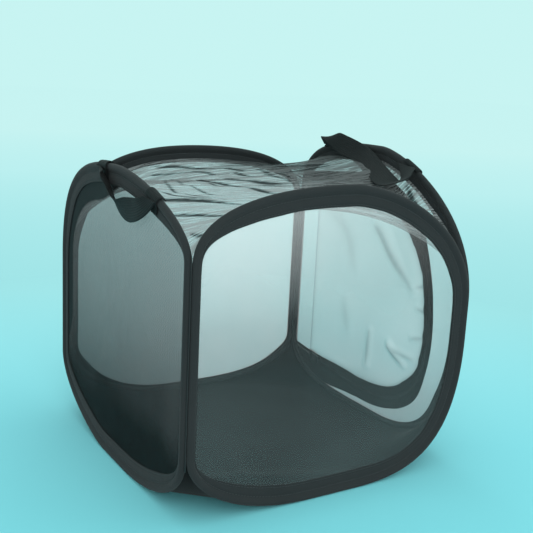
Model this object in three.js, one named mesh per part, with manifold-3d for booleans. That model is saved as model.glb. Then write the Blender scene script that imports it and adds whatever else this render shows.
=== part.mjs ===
// Folding mesh insect cage: four sprung wire hoops in cloth sleeves, sewn edge to edge up the four corners.
// Millimetres. X runs across the clear window, Y from the window to the back, Z up from the ground.
import * as THREE from 'three';
import { mergeVertices } from 'three/addons/utils/BufferGeometryUtils.js';
import Module from 'manifold-3d';

const wasm = await Module();
wasm.setup();

// Driving dimensions
const cageSpan = 300; // between the planes of two opposite hoops
const cageHeight = 302.4; // to the top of the tallest hoop
const clothGap = 0.3; // between two pieces that touch
const overrun = 5; // how far a cut runs past its piece on each side

// Hoops of sprung wire
const wireRadius = 1;
const ferruleBore = 1.3; // radius
const ferruleRadius = 1.85;
const ferruleLength = 25;
const ferruleSides = 12;
const cornerInset = 1.5; // from the plane of the next hoop to this hoop's outer edge
const footRun = 50; // straight stretch on which a hoop stands

// Hoop sleeve: a folded tape, with the wire in a channel at its outer edge and a panel between its free edges
const tapeWidth = 19;
const channelRadius = 2.2; // across the flats, halved
const bulbRadius = 3.1; // the same, outside
const flangeHalf = 1.2; // half the thickness of the two closed free edges
const slotHalf = 0.6; // half the slot between them
const slotDepth = 10.5; // how far the panel reaches in from the free edge
const tightRoomShare = 0.8; // how much of a bend's radius the tape may fill
const tuckHeight = 60; // below this the two far sleeves are tucked narrow

// Cloths
const panelThickness = 0.6;
const clothThickness = 0.6;
const coverSeat = 15; // from a hoop's outer edge down to the roof's seam, at the crown
const coverRampShare = 0.625; // of a hoop's quarter, on which that seam comes down from the corner
const coverCells = [18, 32]; // across and along the folds
const foldCount = 7; // folds that run left to right in the roof
const foldDepth = 1.6;
const foldBowShare = 0.33; // of a fold's width, by which the folds bow in the middle
const coverSag = 5;
const floorCells = [20, 20];
const floorSag = 1.1; // how far each step of settling pulls the floor down
const settlingSteps = 420;
const seamRadius = 0.6; // the stitched cord in the groove between two sleeves
const seamSetback = 0.7; // from the planes of both hoops to that cord's middle
const cordSides = 8;

// Zip door in the right side, measured from the middle of the side and from the ground
const hingeMargin = 40; // from the back hoop's plane to the hinge line
const hingeAlong = cageSpan / 2 - hingeMargin;
const hingeFoot = 36;
const hingeDrop = 52.4; // from the tallest hoop's top
const hingeCrown = cageHeight - hingeDrop;
const zipFoot = 25.5;
const zipDrop = 42.4;
const zipCrown = cageHeight - zipDrop;
const zipMargin = 53; // from the window's plane to the upright run
const zipSide = cageSpan / 2 - zipMargin;
const zipDip = 2; // how far the curve's handles lie past the lower and upper runs
const zipShares = {
  waist: 0.3803, // height of the upright run's middle, of the cage's height
  run: 0.818, // straight part of the lower and upper runs, of the way from the hinge to the middle
  bend: 0.722, // reach of the curve's handles along these runs, of zipSide
  down: 0.838, // and down the upright run, of the way from its middle to the lower run
  up: 0.345, // and up it, of the way to the upper run
};
const coilGap = 1.2; // between the two halves
const coilWidth = 2.2;
const coilHalf = 1.1; // half its thickness
const zipTapeHalf = 0.4;
const zipTapeWide = 13; // along the lower and upper runs
const zipTapeSide = 4; // along the upright run
const zipSteps = 11;
const footStub = 22; // of the door's half that stays on the frame below
const crownStub = 10; // and above
const stubGap = 0.5;
const stopLength = 4;
const stopHalf = 1.5; // half its thickness
const hingeGap = 0.4; // from the hinge line to the mesh on either side

// Slider and its pull
const sliderLength = 12;
const sliderWidth = 9;
const plateThickness = 1.2;
const plateGap = 0.4; // from the plates to the coil
const webHalf = 0.3;
const sliderFromHinge = 14;
const bailThickness = 1.4;
const bailOpening = 5; // along the zip
const bailHeight = 2.3; // clear height
const bailWire = 1.1;
const pullLength = 22;
const pullWidth = 7;
const pullThickness = 1;
const pullBar = 1.1; // the bar that the bail holds
const pullEye = 4.4; // from the bar's middle to the end of the eye
const pullNeckShare = 0.66; // width at the eye
const pullLift = 1.5; // from the slider's outer face up to the middle of the bar

// Carrying handles of webbing
const strapWidth = 22;
const strapThickness = 1.2;
const strapGap = 0.5; // round the sleeve, whose bends are made of straight pieces
const loopGap = 0.8; // between a sewn patch and the loop that swings round it
const strapRows = 24;
const patchReach = 16; // from the hoop's outer edge down the outside of the sleeve
const leftReach = 44; // how far the loops hang out and down from their hoops
const rightReach = 32;

// Heights of the four corners' seams and of the hoops' crowns, as shares of the cage's height
const cornerShares = {
  front_left: { top: 0.744, foot: 0.2024 },
  front_right: { top: 0.5486, foot: 0.4325 },
  back_right: { top: 0.7629, foot: 0.1677 },
  back_left: { top: 0.5744, foot: 0.2292 },
};
// Each quarter of a hoop is one curve. Its two handles reach up or down the side and along the crown or the
// foot, and they are given as shares of the quarter, first for the corner that the hoop starts from.
const hoopShares = [
  {
    name: 'front',
    from: 'front_left',
    to: 'front_right',
    crown: 0.9415,
    top: [[0.78, 0.49], [0.63, 0.36]],
    foot: [[0.42, 0.68], [0.9, 0.49]],
    tuck: 1,
  },
  {
    name: 'right',
    from: 'front_right',
    to: 'back_right',
    crown: 1,
    top: [[0.69, 0.2], [0.9, 0.63]],
    foot: [[0.67, 0.67], [0.68, 0.69]],
    tuck: 0.08,
  },
  {
    name: 'back',
    from: 'back_right',
    to: 'back_left',
    crown: 0.9563,
    top: [[0.4, 0.8], [0.73, 0.68]],
    foot: [[0.4, 0.8], [0.53, 0.53]],
    tuck: 0.2,
  },
  {
    name: 'left',
    from: 'back_left',
    to: 'front_left',
    crown: 0.9444,
    top: [[0.9, 0.52], [0.6, 0.26]],
    foot: [[0.6, 0.25], [0.64, 0.53]],
    tuck: 1,
  },
];
const curveSteps = 9; // straight pieces in each quarter of a hoop
const arcSteps = 4; // in the small arcs of the slider and its pull

// A handle is sewn to its hoop at two places, given as shares of half the span from the hoop's middle. Its
// ends leave the wire at a turn from straight up. Each row of its route gives a place, along from the first
// patch to the second, out and up, then which way the webbing's width lies. Out and up are shares of the reach.
const handles = {
  left: {
    side: -1,
    reach: leftReach,
    patchShares: [-0.2, 0.55],
    turnShare: 0.28,
    routeShares: [
      [0.01, 0.3, -0.22, 1, 0.3, 0.3],
      [0.08, 0.38, -0.6, 0.7, 0.6, 0.5],
      [0.27, 0.42, -0.9, 0.2, 1, 0.2],
      [0.55, 0.42, -0.98, -0.1, 1, 0.1],
      [0.82, 0.4, -0.72, -0.6, 0.7, 0.5],
      [0.96, 0.32, -0.3, -1, 0.3, 0.3],
    ],
  },
  right: {
    side: 1,
    reach: rightReach,
    patchShares: [0.6, -0.35],
    turnShare: 0.2,
    routeShares: [
      [0.02, 0.45, 0.2, 0.9, -0.3, 0.1],
      [0.16, 0.7, 0.3, 0.5, -0.6, 0.5],
      [0.45, 0.8, 0.26, 0, -0.8, 0.6],
      [0.75, 0.84, 0.18, 0, -0.85, 0.5],
      [0.96, 0.8, 0.06, -0.5, -0.6, 0.5],
      [1.01, 0.5, 0.12, -0.9, -0.3, 0.1],
    ],
  },
};

const colours = {
  tape: 0x2b3435,
  mesh: 0x4a5758,
  floor: 0x263032,
  clear: 0xc4dfe0,
  steel: 0x8f979b,
  webbing: 0x202728,
  zip: 0x323c3e,
  slider: 0x6a7478,
};

function cloth(colour) {
  return new THREE.MeshStandardMaterial({ color: colour, roughness: 0.9, metalness: 0 });
}

function metal(colour) {
  return new THREE.MeshStandardMaterial({ color: colour, roughness: 0.35, metalness: 0.9 });
}

function clearSheet() {
  const material = new THREE.MeshStandardMaterial({ color: colours.clear, roughness: 0.1, opacity: 0.3 });
  material.transparent = true;
  return material;
}

function named(name, geometry, material) {
  const mesh = new THREE.Mesh(geometry, material);
  mesh.name = name;
  return mesh;
}

// Solids and surfaces

// A closed geometry from points and triangles, turned so that its faces point out.
function solidFrom(points, triangles) {
  const flat = [];
  points.forEach((p) => flat.push(p.x, p.y, p.z));
  let volume = 0;
  const cross = new THREE.Vector3();
  triangles.forEach(([a, b, c]) => {
    volume += points[a].dot(cross.crossVectors(points[b], points[c]));
  });
  const index = [];
  triangles.forEach(([a, b, c]) => {
    if (volume < 0) index.push(a, c, b);
    else index.push(a, b, c);
  });
  const geometry = new THREE.BufferGeometry();
  geometry.setAttribute('position', new THREE.Float32BufferAttribute(flat, 3));
  geometry.setIndex(index);
  geometry.computeVertexNormals();
  return geometry;
}

// A section carried along rows of its points. The flat outline closes the two ends, and a sweep without one
// closes on itself.
function sweep(rows, outline) {
  const count = rows[0].length;
  const triangles = [];
  const last = outline ? rows.length - 1 : rows.length;
  for (let i = 0; i < last; i++) {
    const next = (i + 1) % rows.length;
    for (let j = 0; j < count; j++) {
      const side = (j + 1) % count;
      const [a, b, c, d] = [i * count + j, i * count + side, next * count + side, next * count + j];
      triangles.push([a, b, c], [a, c, d]);
    }
  }
  if (outline) {
    const end = (rows.length - 1) * count;
    const flat = outline.map(([x, y]) => new THREE.Vector2(x, y));
    const turned = THREE.ShapeUtils.isClockWise(flat);
    if (turned) flat.reverse();
    THREE.ShapeUtils.triangulateShape(flat, []).forEach((corners) => {
      const [a, b, c] = turned ? corners.map((k) => count - 1 - k).reverse() : corners;
      triangles.push([c, b, a], [end + a, end + b, end + c]);
    });
  }
  return solidFrom(rows.flat(), triangles);
}

// A cloth of one thickness from a grid of points.
function sheet(rows, thickness) {
  const count = rows[0].length;
  const last = rows.length - 1;
  const end = count - 1;
  const points = [];
  [1, -1].forEach((side) => rows.forEach((row, i) => row.forEach((p, j) => {
    const down = rows[Math.min(i + 1, last)][j].clone().sub(rows[Math.max(i - 1, 0)][j]);
    const along = row[Math.min(j + 1, end)].clone().sub(row[Math.max(j - 1, 0)]);
    const normal = along.cross(down).normalize();
    points.push(p.clone().addScaledVector(normal, (side * thickness) / 2));
  })));
  const at = (side, i, j) => side * rows.length * count + i * count + j;
  const triangles = [];
  const face = (a, b, c, d) => triangles.push([a, b, c], [a, c, d]);
  for (let i = 0; i < last; i++) {
    for (let j = 0; j < end; j++) {
      face(at(0, i, j), at(0, i, j + 1), at(0, i + 1, j + 1), at(0, i + 1, j));
      face(at(1, i, j), at(1, i + 1, j), at(1, i + 1, j + 1), at(1, i, j + 1));
    }
    face(at(0, i, 0), at(0, i + 1, 0), at(1, i + 1, 0), at(1, i, 0));
    face(at(0, i, end), at(1, i, end), at(1, i + 1, end), at(0, i + 1, end));
  }
  for (let j = 0; j < end; j++) {
    face(at(0, 0, j), at(1, 0, j), at(1, 0, j + 1), at(0, 0, j + 1));
    face(at(0, last, j), at(0, last, j + 1), at(1, last, j + 1), at(1, last, j));
  }
  return solidFrom(points, triangles);
}

// A flat panel that stands in a hoop's plane, from its outline in that plane.
function standing(outline, thickness) {
  const shape = new THREE.Shape(outline);
  const geometry = new THREE.ExtrudeGeometry(shape, { depth: thickness, bevelEnabled: false });
  return geometry.translate(0, 0, -thickness / 2).rotateX(Math.PI / 2);
}

function toSolid(geometry) {
  const bare = geometry.clone();
  bare.deleteAttribute('normal');
  bare.deleteAttribute('uv');
  const merged = mergeVertices(bare);
  return new wasm.Manifold(new wasm.Mesh({
    numProp: 3,
    vertProperties: merged.attributes.position.array,
    triVerts: new Uint32Array(merged.index.array),
  }));
}

function toGeometry(solid) {
  const mesh = solid.getMesh();
  const geometry = new THREE.BufferGeometry();
  geometry.setAttribute('position', new THREE.BufferAttribute(mesh.vertProperties, 3));
  geometry.setIndex(new THREE.BufferAttribute(mesh.triVerts, 1));
  geometry.computeVertexNormals();
  return geometry;
}

const smooth = (t) => t * t * (3 - 2 * t);
const { clamp, lerp } = THREE.MathUtils;

// Hoops

// The outer edge of a hoop in its own plane, anticlockwise from the right end of its foot.
function hoopOutline(shares) {
  const reach = cageSpan / 2 - cornerInset;
  const heel = footRun / 2;
  const crown = shares.crown * cageHeight;
  const [left, right] = [shares.from, shares.to].map((corner) => ({
    top: cornerShares[corner].top * cageHeight,
    foot: cornerShares[corner].foot * cageHeight,
  }));
  const [[leftUp, leftIn], [rightUp, rightIn]] = shares.top;
  const [[leftDown, leftHeel], [rightDown, rightHeel]] = shares.foot;
  const path = new THREE.Path();
  path.moveTo(heel, 0);
  path.bezierCurveTo(lerp(heel, reach, rightHeel), 0, reach, right.foot * (1 - rightDown), reach, right.foot);
  path.lineTo(reach, right.top);
  path.bezierCurveTo(reach, lerp(right.top, crown, rightUp), rightIn * reach, crown, 0, crown);
  path.bezierCurveTo(-leftIn * reach, crown, -reach, lerp(left.top, crown, leftUp), -reach, left.top);
  path.lineTo(-reach, left.foot);
  path.bezierCurveTo(-reach, left.foot * (1 - leftDown), -lerp(heel, reach, leftHeel), 0, -heel, 0);
  return path.getPoints(curveSteps);
}

// Places along a hoop: the outer edge, the way inwards and the share of the tape's flat part with room to lie.
function hoopStations(shares) {
  const points = hoopOutline(shares);
  const count = points.length;
  const stations = points.map((p, i) => {
    const arriving = p.clone().sub(points[(i + count - 1) % count]);
    const leaving = points[(i + 1) % count].clone().sub(p);
    const [before, after] = [arriving.length(), leaving.length()];
    const turn = Math.asin(clamp(arriving.cross(leaving) / (before * after), -1, 1));
    const bend = (before + after) / 2 / Math.max(Math.abs(turn), Number.EPSILON);
    const along = arriving.normalize().add(leaving.normalize()).normalize();
    const tucked = lerp(shares.tuck, 1, smooth(clamp(p.y / tuckHeight, 0, 1)));
    const room = Math.min(1, (tightRoomShare * bend) / tapeWidth, tucked);
    return { at: p, inward: new THREE.Vector2(-along.y, along.x), room };
  });
  const rooms = stations.map((s) => s.room);
  stations.forEach((s, i) => {
    const around = (rooms[(i + count - 1) % count] + rooms[(i + 1) % count] + s.room) / 3;
    s.room = Math.min(s.room, around);
  });
  return stations;
}

// A point of a hoop's section: in from the outer edge, and deep towards the middle of the cage.
function inSection(station, edge, deep) {
  const flat = Math.max(edge - 2 * bulbRadius, 0);
  const inside = edge - flat * (1 - station.room);
  const { at, inward } = station;
  return new THREE.Vector3(at.x + inside * inward.x, deep, at.y + inside * inward.y);
}

// The bulb is a round fold with eight sides, one of them on the ground.
const bulbSides = 8;
const bulbCorner = bulbRadius / Math.cos(Math.PI / bulbSides);

// The sleeve's section: the bulb with a six-sided channel that opens between the tape's free edges.
function sleeveSection() {
  const channelSides = 6;
  const channel = channelRadius / Math.cos(Math.PI / channelSides);
  const mouth = bulbRadius + channelRadius;
  const root = 2 * bulbRadius;
  const points = [[tapeWidth, flangeHalf], [root, flangeHalf]];
  for (let k = 1; k < bulbSides - 1; k++) {
    const angle = (k + 0.5) * ((2 * Math.PI) / bulbSides);
    points.push([bulbRadius + bulbCorner * Math.cos(angle), bulbCorner * Math.sin(angle)]);
  }
  points.push([root, -flangeHalf], [tapeWidth, -flangeHalf], [tapeWidth, -slotHalf], [mouth, -slotHalf]);
  for (let k = channelSides - 1; k >= 0; k--) {
    const angle = (k + 0.5) * ((2 * Math.PI) / channelSides);
    points.push([bulbRadius + channel * Math.cos(angle), channel * Math.sin(angle)]);
  }
  points.push([mouth, slotHalf], [tapeWidth, slotHalf]);
  return points;
}

function sleeve(stations) {
  const section = sleeveSection();
  return sweep(stations.map((s) => section.map(([edge, deep]) => inSection(s, edge, deep))));
}

// The longer of the two straight sides of a hoop, where the wire's ends meet in the ferrule.
function longSide(stations) {
  const sides = [curveSteps, 3 * curveSteps + 1];
  const [right, left] = sides.map((i) => stations[i].at.distanceTo(stations[i + 1].at));
  return right > left ? sides[0] : sides[1];
}

// The wire runs from one end in the ferrule round to the other.
function wire(stations) {
  const start = longSide(stations);
  const [below, above] = [stations[start], stations[start + 1]];
  const along = above.at.clone().sub(below.at).normalize();
  const wireEnd = (side) => {
    const middle = below.at.clone().lerp(above.at, 0.5);
    middle.addScaledVector(along, side * clothGap);
    return { ...below, inward: new THREE.Vector2(-along.y, along.x), at: middle };
  };
  const round = [wireEnd(1)];
  for (let i = 1; i <= stations.length; i++) round.push(stations[(start + i) % stations.length]);
  round.push(wireEnd(-1));
  const sides = 6;
  const section = [];
  for (let k = 0; k < sides; k++) {
    const angle = k * ((2 * Math.PI) / sides);
    section.push([bulbRadius + wireRadius * Math.cos(angle), wireRadius * Math.sin(angle)]);
  }
  return sweep(round.map((s) => section.map(([edge, deep]) => inSection(s, edge, deep))), section);
}

function ferrule(stations) {
  const start = longSide(stations);
  const middle = stations[start].at.clone().lerp(stations[start + 1].at, 0.5);
  const half = ferruleLength / 2;
  const profile = [
    new THREE.Vector2(ferruleBore, -half),
    new THREE.Vector2(ferruleRadius, -half),
    new THREE.Vector2(ferruleRadius, half),
    new THREE.Vector2(ferruleBore, half),
    new THREE.Vector2(ferruleBore, -half),
  ];
  const inwards = middle.x - Math.sign(middle.x) * bulbRadius;
  return new THREE.LatheGeometry(profile, ferruleSides).rotateX(Math.PI / 2).translate(inwards, 0, middle.y);
}

// The edge of a panel, held in the sleeve's slot.
function panelOutline(stations) {
  return stations.map((s) => {
    const p = inSection(s, tapeWidth - slotDepth, 0);
    return new THREE.Vector2(p.x, p.z);
  });
}

// Roof and floor

const clothRound = bulbCorner + clothGap + clothThickness / 2;

// How deep a cloth lies on the inner face of a sleeve, at a distance from its outer edge.
function clothSeat(edge) {
  const beside = flangeHalf + clothGap + clothThickness / 2;
  const height = clothRound ** 2 - (edge - bulbRadius) ** 2;
  return Math.max(beside, Math.sqrt(Math.max(height, 0)));
}

// At a corner the seams on two hoops meet on the diagonal, at this distance from both outer edges.
function cornerEdge() {
  const across = bulbRadius + cornerInset;
  return (bulbRadius - cornerInset + Math.sqrt(2 * clothRound ** 2 - across ** 2)) / 2;
}

// Evenly spaced places on a line of points.
function spaced(points, cells) {
  const lengths = [0];
  for (let i = 1; i < points.length; i++) {
    lengths.push(lengths[i - 1] + points[i].distanceTo(points[i - 1]));
  }
  const total = lengths[lengths.length - 1];
  const result = [];
  for (let k = 0; k <= cells; k++) {
    const wanted = (total * k) / cells;
    let i = 1;
    while (i < points.length - 1 && lengths[i] < wanted) i++;
    const share = (wanted - lengths[i - 1]) / (lengths[i] - lengths[i - 1]);
    result.push(points[i - 1].clone().lerp(points[i], clamp(share, 0, 1)));
  }
  return result;
}

// One hoop's seam line for the roof or the floor, from its left corner to its right, in the cage's frame.
function seamLine(hoop, over, cells) {
  const { stations, place } = hoop;
  const rightTop = curveSteps + 1;
  const leftFoot = rightTop + 2 * curveSteps + 1;
  const upper = stations.slice(rightTop, leftFoot).reverse();
  const lower = [...stations.slice(leftFoot), ...stations.slice(0, rightTop)];
  const edge = cornerEdge();
  const line = (over ? upper : lower).map((s, i, all) => {
    const fromCorner = Math.min(i, all.length - 1 - i) / (curveSteps * coverRampShare);
    const depth = over ? lerp(edge, coverSeat, smooth(clamp(fromCorner, 0, 1))) : edge;
    return inSection(s, depth, clothSeat(depth)).applyMatrix4(place);
  });
  return spaced(line, cells);
}

// A cloth stretched between four seam lines: front and back run left to right, the others front to back.
function stretched([front, right, back, left], settle) {
  const across = front.length - 1;
  const along = right.length - 1;
  const grid = [];
  for (let j = 0; j <= along; j++) {
    const t = j / along;
    grid.push(front.map((p, i) => {
      const s = i / across;
      const sides = left[j].clone().lerp(right[j], s);
      const ends = p.clone().lerp(back[i], t);
      const corners = front[0].clone().lerp(front[across], s).lerp(back[0].clone().lerp(back[across], s), t);
      return sides.add(ends).sub(corners);
    }));
  }
  for (let step = 0; step < settlingSteps; step++) {
    for (let j = 1; j < along; j++) {
      for (let i = 1; i < across; i++) {
        const sum = grid[j - 1][i].clone().add(grid[j + 1][i]).add(grid[j][i - 1]).add(grid[j][i + 1]);
        grid[j][i].copy(settle(sum.divideScalar(4)));
      }
    }
  }
  return grid;
}

function seamLines(hoops, over, [cellsAcross, cellsAlong]) {
  return [
    seamLine(hoops.front, over, cellsAcross),
    seamLine(hoops.right, over, cellsAlong),
    seamLine(hoops.back, over, cellsAcross).reverse(),
    seamLine(hoops.left, over, cellsAlong).reverse(),
  ];
}

function roof(hoops) {
  const grid = stretched(seamLines(hoops, true, coverCells), (p) => p);
  const arch = (share) => 4 * share * (1 - share);
  grid.forEach((row, j) => row.forEach((p, i) => {
    const s = i / coverCells[0];
    const t = j / coverCells[1];
    const middle = arch(s) * arch(t);
    const wave = Math.sin(2 * Math.PI * (foldCount * t + foldBowShare * Math.sin(Math.PI * s)));
    p.z += Math.sqrt(middle) * foldDepth * wave - middle * coverSag;
  }));
  return sheet(grid, clothThickness);
}

function floor(hoops) {
  const lowest = clothThickness + clothGap;
  const grid = stretched(seamLines(hoops, false, floorCells), (p) => {
    p.z = Math.max(p.z - floorSag, lowest);
    return p;
  });
  return sheet(grid, clothThickness);
}

// The stitched cord stands in the groove between two sleeves, as high as they touch.
function cornerSeam(name) {
  const { top, foot } = cornerShares[name];
  const height = (top - foot) * cageHeight;
  const cord = new THREE.CylinderGeometry(seamRadius, seamRadius, height, cordSides);
  const mesh = named(`seam_${name}`, cord.rotateX(Math.PI / 2), cloth(colours.tape));
  const away = cageSpan / 2 - seamSetback;
  const sideways = name.endsWith('right') ? 1 : -1;
  const lengthways = name.startsWith('back') ? 1 : -1;
  mesh.position.set(sideways * away, lengthways * away, foot * cageHeight + height / 2);
  return mesh;
}

// Zip door

const zipWaist = zipShares.waist * cageHeight;

// Places along the middle of the zip, from past the hinge line below, round the front, to past it above.
function zipStations() {
  const run = zipShares.run * hingeAlong;
  const bendStart = hingeAlong - run;
  const slopeFoot = (hingeFoot - zipFoot) / run;
  const slopeCrown = (zipCrown - hingeCrown) / run;
  const path = new THREE.Path();
  path.moveTo(hingeAlong + overrun, hingeFoot + slopeFoot * overrun);
  path.lineTo(bendStart, zipFoot);
  const bend = bendStart - zipShares.bend * zipSide;
  const lowest = lerp(zipWaist, zipFoot, zipShares.down);
  const highest = lerp(zipWaist, zipCrown, zipShares.up);
  path.bezierCurveTo(bend, zipFoot - zipDip, -zipSide, lowest, -zipSide, zipWaist);
  path.bezierCurveTo(-zipSide, highest, bend, zipCrown + zipDip, bendStart, zipCrown);
  path.lineTo(hingeAlong + overrun, hingeCrown - slopeCrown * overrun);
  const points = path.getPoints(zipSteps);
  return points.map((p, i) => {
    const before = points[Math.max(i - 1, 0)];
    const after = points[Math.min(i + 1, points.length - 1)];
    const along = after.clone().sub(before).normalize();
    const outward = new THREE.Vector2(-along.y, along.x);
    return { at: p, outward, tape: lerp(zipTapeSide, zipTapeWide, Math.abs(outward.y)) };
  });
}

const coilInner = coilGap / 2;
const coilOuter = coilInner + coilWidth;

// Places beside the zip, measured away from its middle. Positive is towards the hoop.
function besideZip({ at, outward }, away, deep) {
  return new THREE.Vector3(at.x + away * outward.x, deep, at.y + away * outward.y);
}

// One half of the zip: a bead of teeth with its tape.
function zipHalf(stations, side) {
  const profile = (tape) => [
    [coilInner, -coilHalf],
    [coilOuter, -coilHalf],
    [coilOuter, -zipTapeHalf],
    [coilOuter + tape, -zipTapeHalf],
    [coilOuter + tape, zipTapeHalf],
    [coilOuter, zipTapeHalf],
    [coilOuter, coilHalf],
    [coilInner, coilHalf],
  ];
  const rows = stations.map((s) => profile(s.tape).map(([away, deep]) => besideZip(s, side * away, deep)));
  return toSolid(sweep(rows, profile(zipTapeWide)));
}

// The stop that closes the gap between the two halves.
function zipStop(stations) {
  const half = coilInner + coilWidth / 2;
  const profile = [[-half, -stopHalf], [half, -stopHalf], [half, stopHalf], [-half, stopHalf]];
  const rows = stations.map((s) => profile.map(([away, deep]) => besideZip(s, away, deep)));
  return toSolid(sweep(rows, profile));
}

// Everything that lies further along the side than a place, above or below the zip's waist.
function beyond(along, above) {
  const length = cageSpan / 2;
  const middle = zipWaist + (above ? cageHeight / 2 : -cageHeight / 2);
  const block = new THREE.BoxGeometry(length, 2 * overrun, cageHeight);
  return toSolid(block.translate(along + length / 2, 0, middle));
}

function zipTapes(stations) {
  const doorHalf = zipHalf(stations, -1);
  const stops = zipStop(stations);
  let frame = zipHalf(stations, 1);
  let leaf = doorHalf;
  [[footStub, false], [crownStub, true]].forEach(([stub, above]) => {
    frame = frame.add(doorHalf.intersect(beyond(hingeAlong - stub + stubGap, above)));
    frame = frame.add(stops.intersect(beyond(hingeAlong - stopLength, above)));
    frame = frame.subtract(beyond(hingeAlong, above));
    leaf = leaf.subtract(beyond(hingeAlong - stub, above));
  });
  return { frame: toGeometry(frame), leaf: toGeometry(leaf) };
}

// A plate inside a line beside the zip, cut off at a distance from the middle of the side.
function insideZip(stations, side, cutAt, thickness) {
  const line = stations.map((s) => {
    const p = besideZip(s, side * (coilOuter + s.tape + clothGap), 0);
    return new THREE.Vector2(p.x, p.z);
  });
  return toSolid(standing(line, thickness)).subtract(beyond(cutAt, false)).subtract(beyond(cutAt, true));
}

function rightPanel(stations, zip) {
  const whole = toSolid(standing(panelOutline(stations), panelThickness));
  return toGeometry(whole.subtract(insideZip(zip, 1, hingeAlong + hingeGap, 2 * overrun)));
}

function doorPanel(zip) {
  return toGeometry(insideZip(zip, -1, hingeAlong - hingeGap, panelThickness));
}

// The slider's two plates hold the coil between them, joined by a web that runs in its gap.
function slider() {
  const inner = coilHalf + plateGap;
  const outer = inner + plateThickness;
  const half = sliderWidth / 2;
  const section = new THREE.Shape([
    new THREE.Vector2(-half, inner),
    new THREE.Vector2(-webHalf, inner),
    new THREE.Vector2(-webHalf, -inner),
    new THREE.Vector2(-half, -inner),
    new THREE.Vector2(-half, -outer),
    new THREE.Vector2(half, -outer),
    new THREE.Vector2(half, -inner),
    new THREE.Vector2(webHalf, -inner),
    new THREE.Vector2(webHalf, inner),
    new THREE.Vector2(half, inner),
    new THREE.Vector2(half, outer),
    new THREE.Vector2(-half, outer),
  ]);
  const body = new THREE.ExtrudeGeometry(section, { depth: sliderLength, bevelEnabled: false });
  body.translate(0, 0, -sliderLength / 2).rotateY(Math.PI / 2);
  return toGeometry(toSolid(body).add(toSolid(bail(outer))));
}

// The bail is an arch on the slider's outer face that holds the pull. It spans along the zip.
function bail(face) {
  const inside = bailOpening / 2;
  const outside = inside + bailWire;
  const rise = bailHeight + bailWire;
  const arch = new THREE.Shape();
  arch.moveTo(-outside, clothGap);
  arch.lineTo(-outside, -rise / 2);
  arch.quadraticCurveTo(-outside, -rise, -outside + rise / 2, -rise);
  arch.lineTo(outside - rise / 2, -rise);
  arch.quadraticCurveTo(outside, -rise, outside, -rise / 2);
  arch.lineTo(outside, clothGap);
  arch.lineTo(inside, clothGap);
  arch.lineTo(inside, -bailHeight);
  arch.lineTo(-inside, -bailHeight);
  arch.lineTo(-inside, clothGap);
  const settings = { depth: bailThickness, bevelEnabled: false, curveSegments: arcSteps };
  const geometry = new THREE.ExtrudeGeometry(arch, settings);
  return geometry.translate(0, -face, -bailThickness / 2);
}

// The pull lies along the zip with its bar under the bail. Its own origin is the bar's middle.
function pull() {
  const neck = (pullWidth * pullNeckShare) / 2;
  const half = pullWidth / 2;
  const bar = pullBar / 2;
  const outline = new THREE.Shape();
  outline.moveTo(bar, -neck);
  outline.lineTo(bar, neck);
  outline.lineTo(-pullEye, neck);
  outline.quadraticCurveTo(-pullEye - half, half, -pullLength / 2, half);
  outline.absarc(-pullLength + half, 0, half, Math.PI / 2, (3 * Math.PI) / 2);
  outline.lineTo(-pullLength / 2, -half);
  outline.quadraticCurveTo(-pullEye - half, -half, -pullEye, -neck);
  const eye = neck - pullBar;
  outline.holes.push(new THREE.Path([
    new THREE.Vector2(-bar, -eye),
    new THREE.Vector2(-pullEye, -eye),
    new THREE.Vector2(-pullEye, eye),
    new THREE.Vector2(-bar, eye),
  ]));
  const settings = { depth: pullThickness, bevelEnabled: false, curveSegments: arcSteps };
  const geometry = new THREE.ExtrudeGeometry(outline, settings);
  return geometry.translate(0, 0, -pullThickness / 2).rotateX(Math.PI / 2);
}

// The slider and its pull on the lower run of the zip, turned so that their X runs along it.
function sliderGroup() {
  const hinge = new THREE.Vector2(hingeAlong, hingeFoot);
  const run = new THREE.Vector2((1 - zipShares.run) * hingeAlong, zipFoot).sub(hinge).normalize();
  const at = hinge.addScaledVector(run, sliderFromHinge);
  const running = new THREE.Group();
  running.position.set(at.x, 0, at.y);
  running.rotation.y = -Math.atan2(run.y, run.x);
  const tab = named('zip_pull', pull(), metal(colours.slider));
  tab.position.y = -(coilHalf + plateGap + plateThickness + pullLift);
  return running.add(named('zip_slider', slider(), metal(colours.slider)), tab);
}

// Handles

// A place on the upper half of a hoop, at a distance along from its middle.
function onCrown(stations, along) {
  const upper = stations.slice(curveSteps + 1, 3 * curveSteps + 2);
  const i = upper.findIndex((s) => s.at.x <= along);
  const [a, b] = [upper[i - 1], upper[i]];
  const share = (along - a.at.x) / (b.at.x - a.at.x);
  const inward = a.inward.clone().lerp(b.inward, share).normalize();
  return { at: a.at.clone().lerp(b.at, share), inward, room: 1 };
}

const patchRadius = bulbCorner + strapGap + strapThickness / 2;

// Where webbing is sewn down: up the outside of the sleeve, over the wire and a little down the inside.
function patch(stations, along) {
  const flat = flangeHalf + strapGap + strapThickness / 2;
  const profile = [[patchReach, -flat], [patchReach / 2, -flat - clothGap]];
  const turnShares = [0.33, 0.22, 0.11, 0, -0.09, -0.18];
  turnShares.forEach((share) => {
    const angle = 2 * Math.PI * share;
    profile.push([bulbRadius - patchRadius * Math.cos(angle), -patchRadius * Math.sin(angle)]);
  });
  const cells = 3;
  const rows = profile.map(([edge, deep]) => {
    const row = [];
    for (let k = 0; k <= cells; k++) {
      row.push(inSection(onCrown(stations, along + strapWidth * (k / cells - 0.5)), edge, deep));
    }
    return row;
  });
  return sheet(rows, strapThickness);
}

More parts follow.
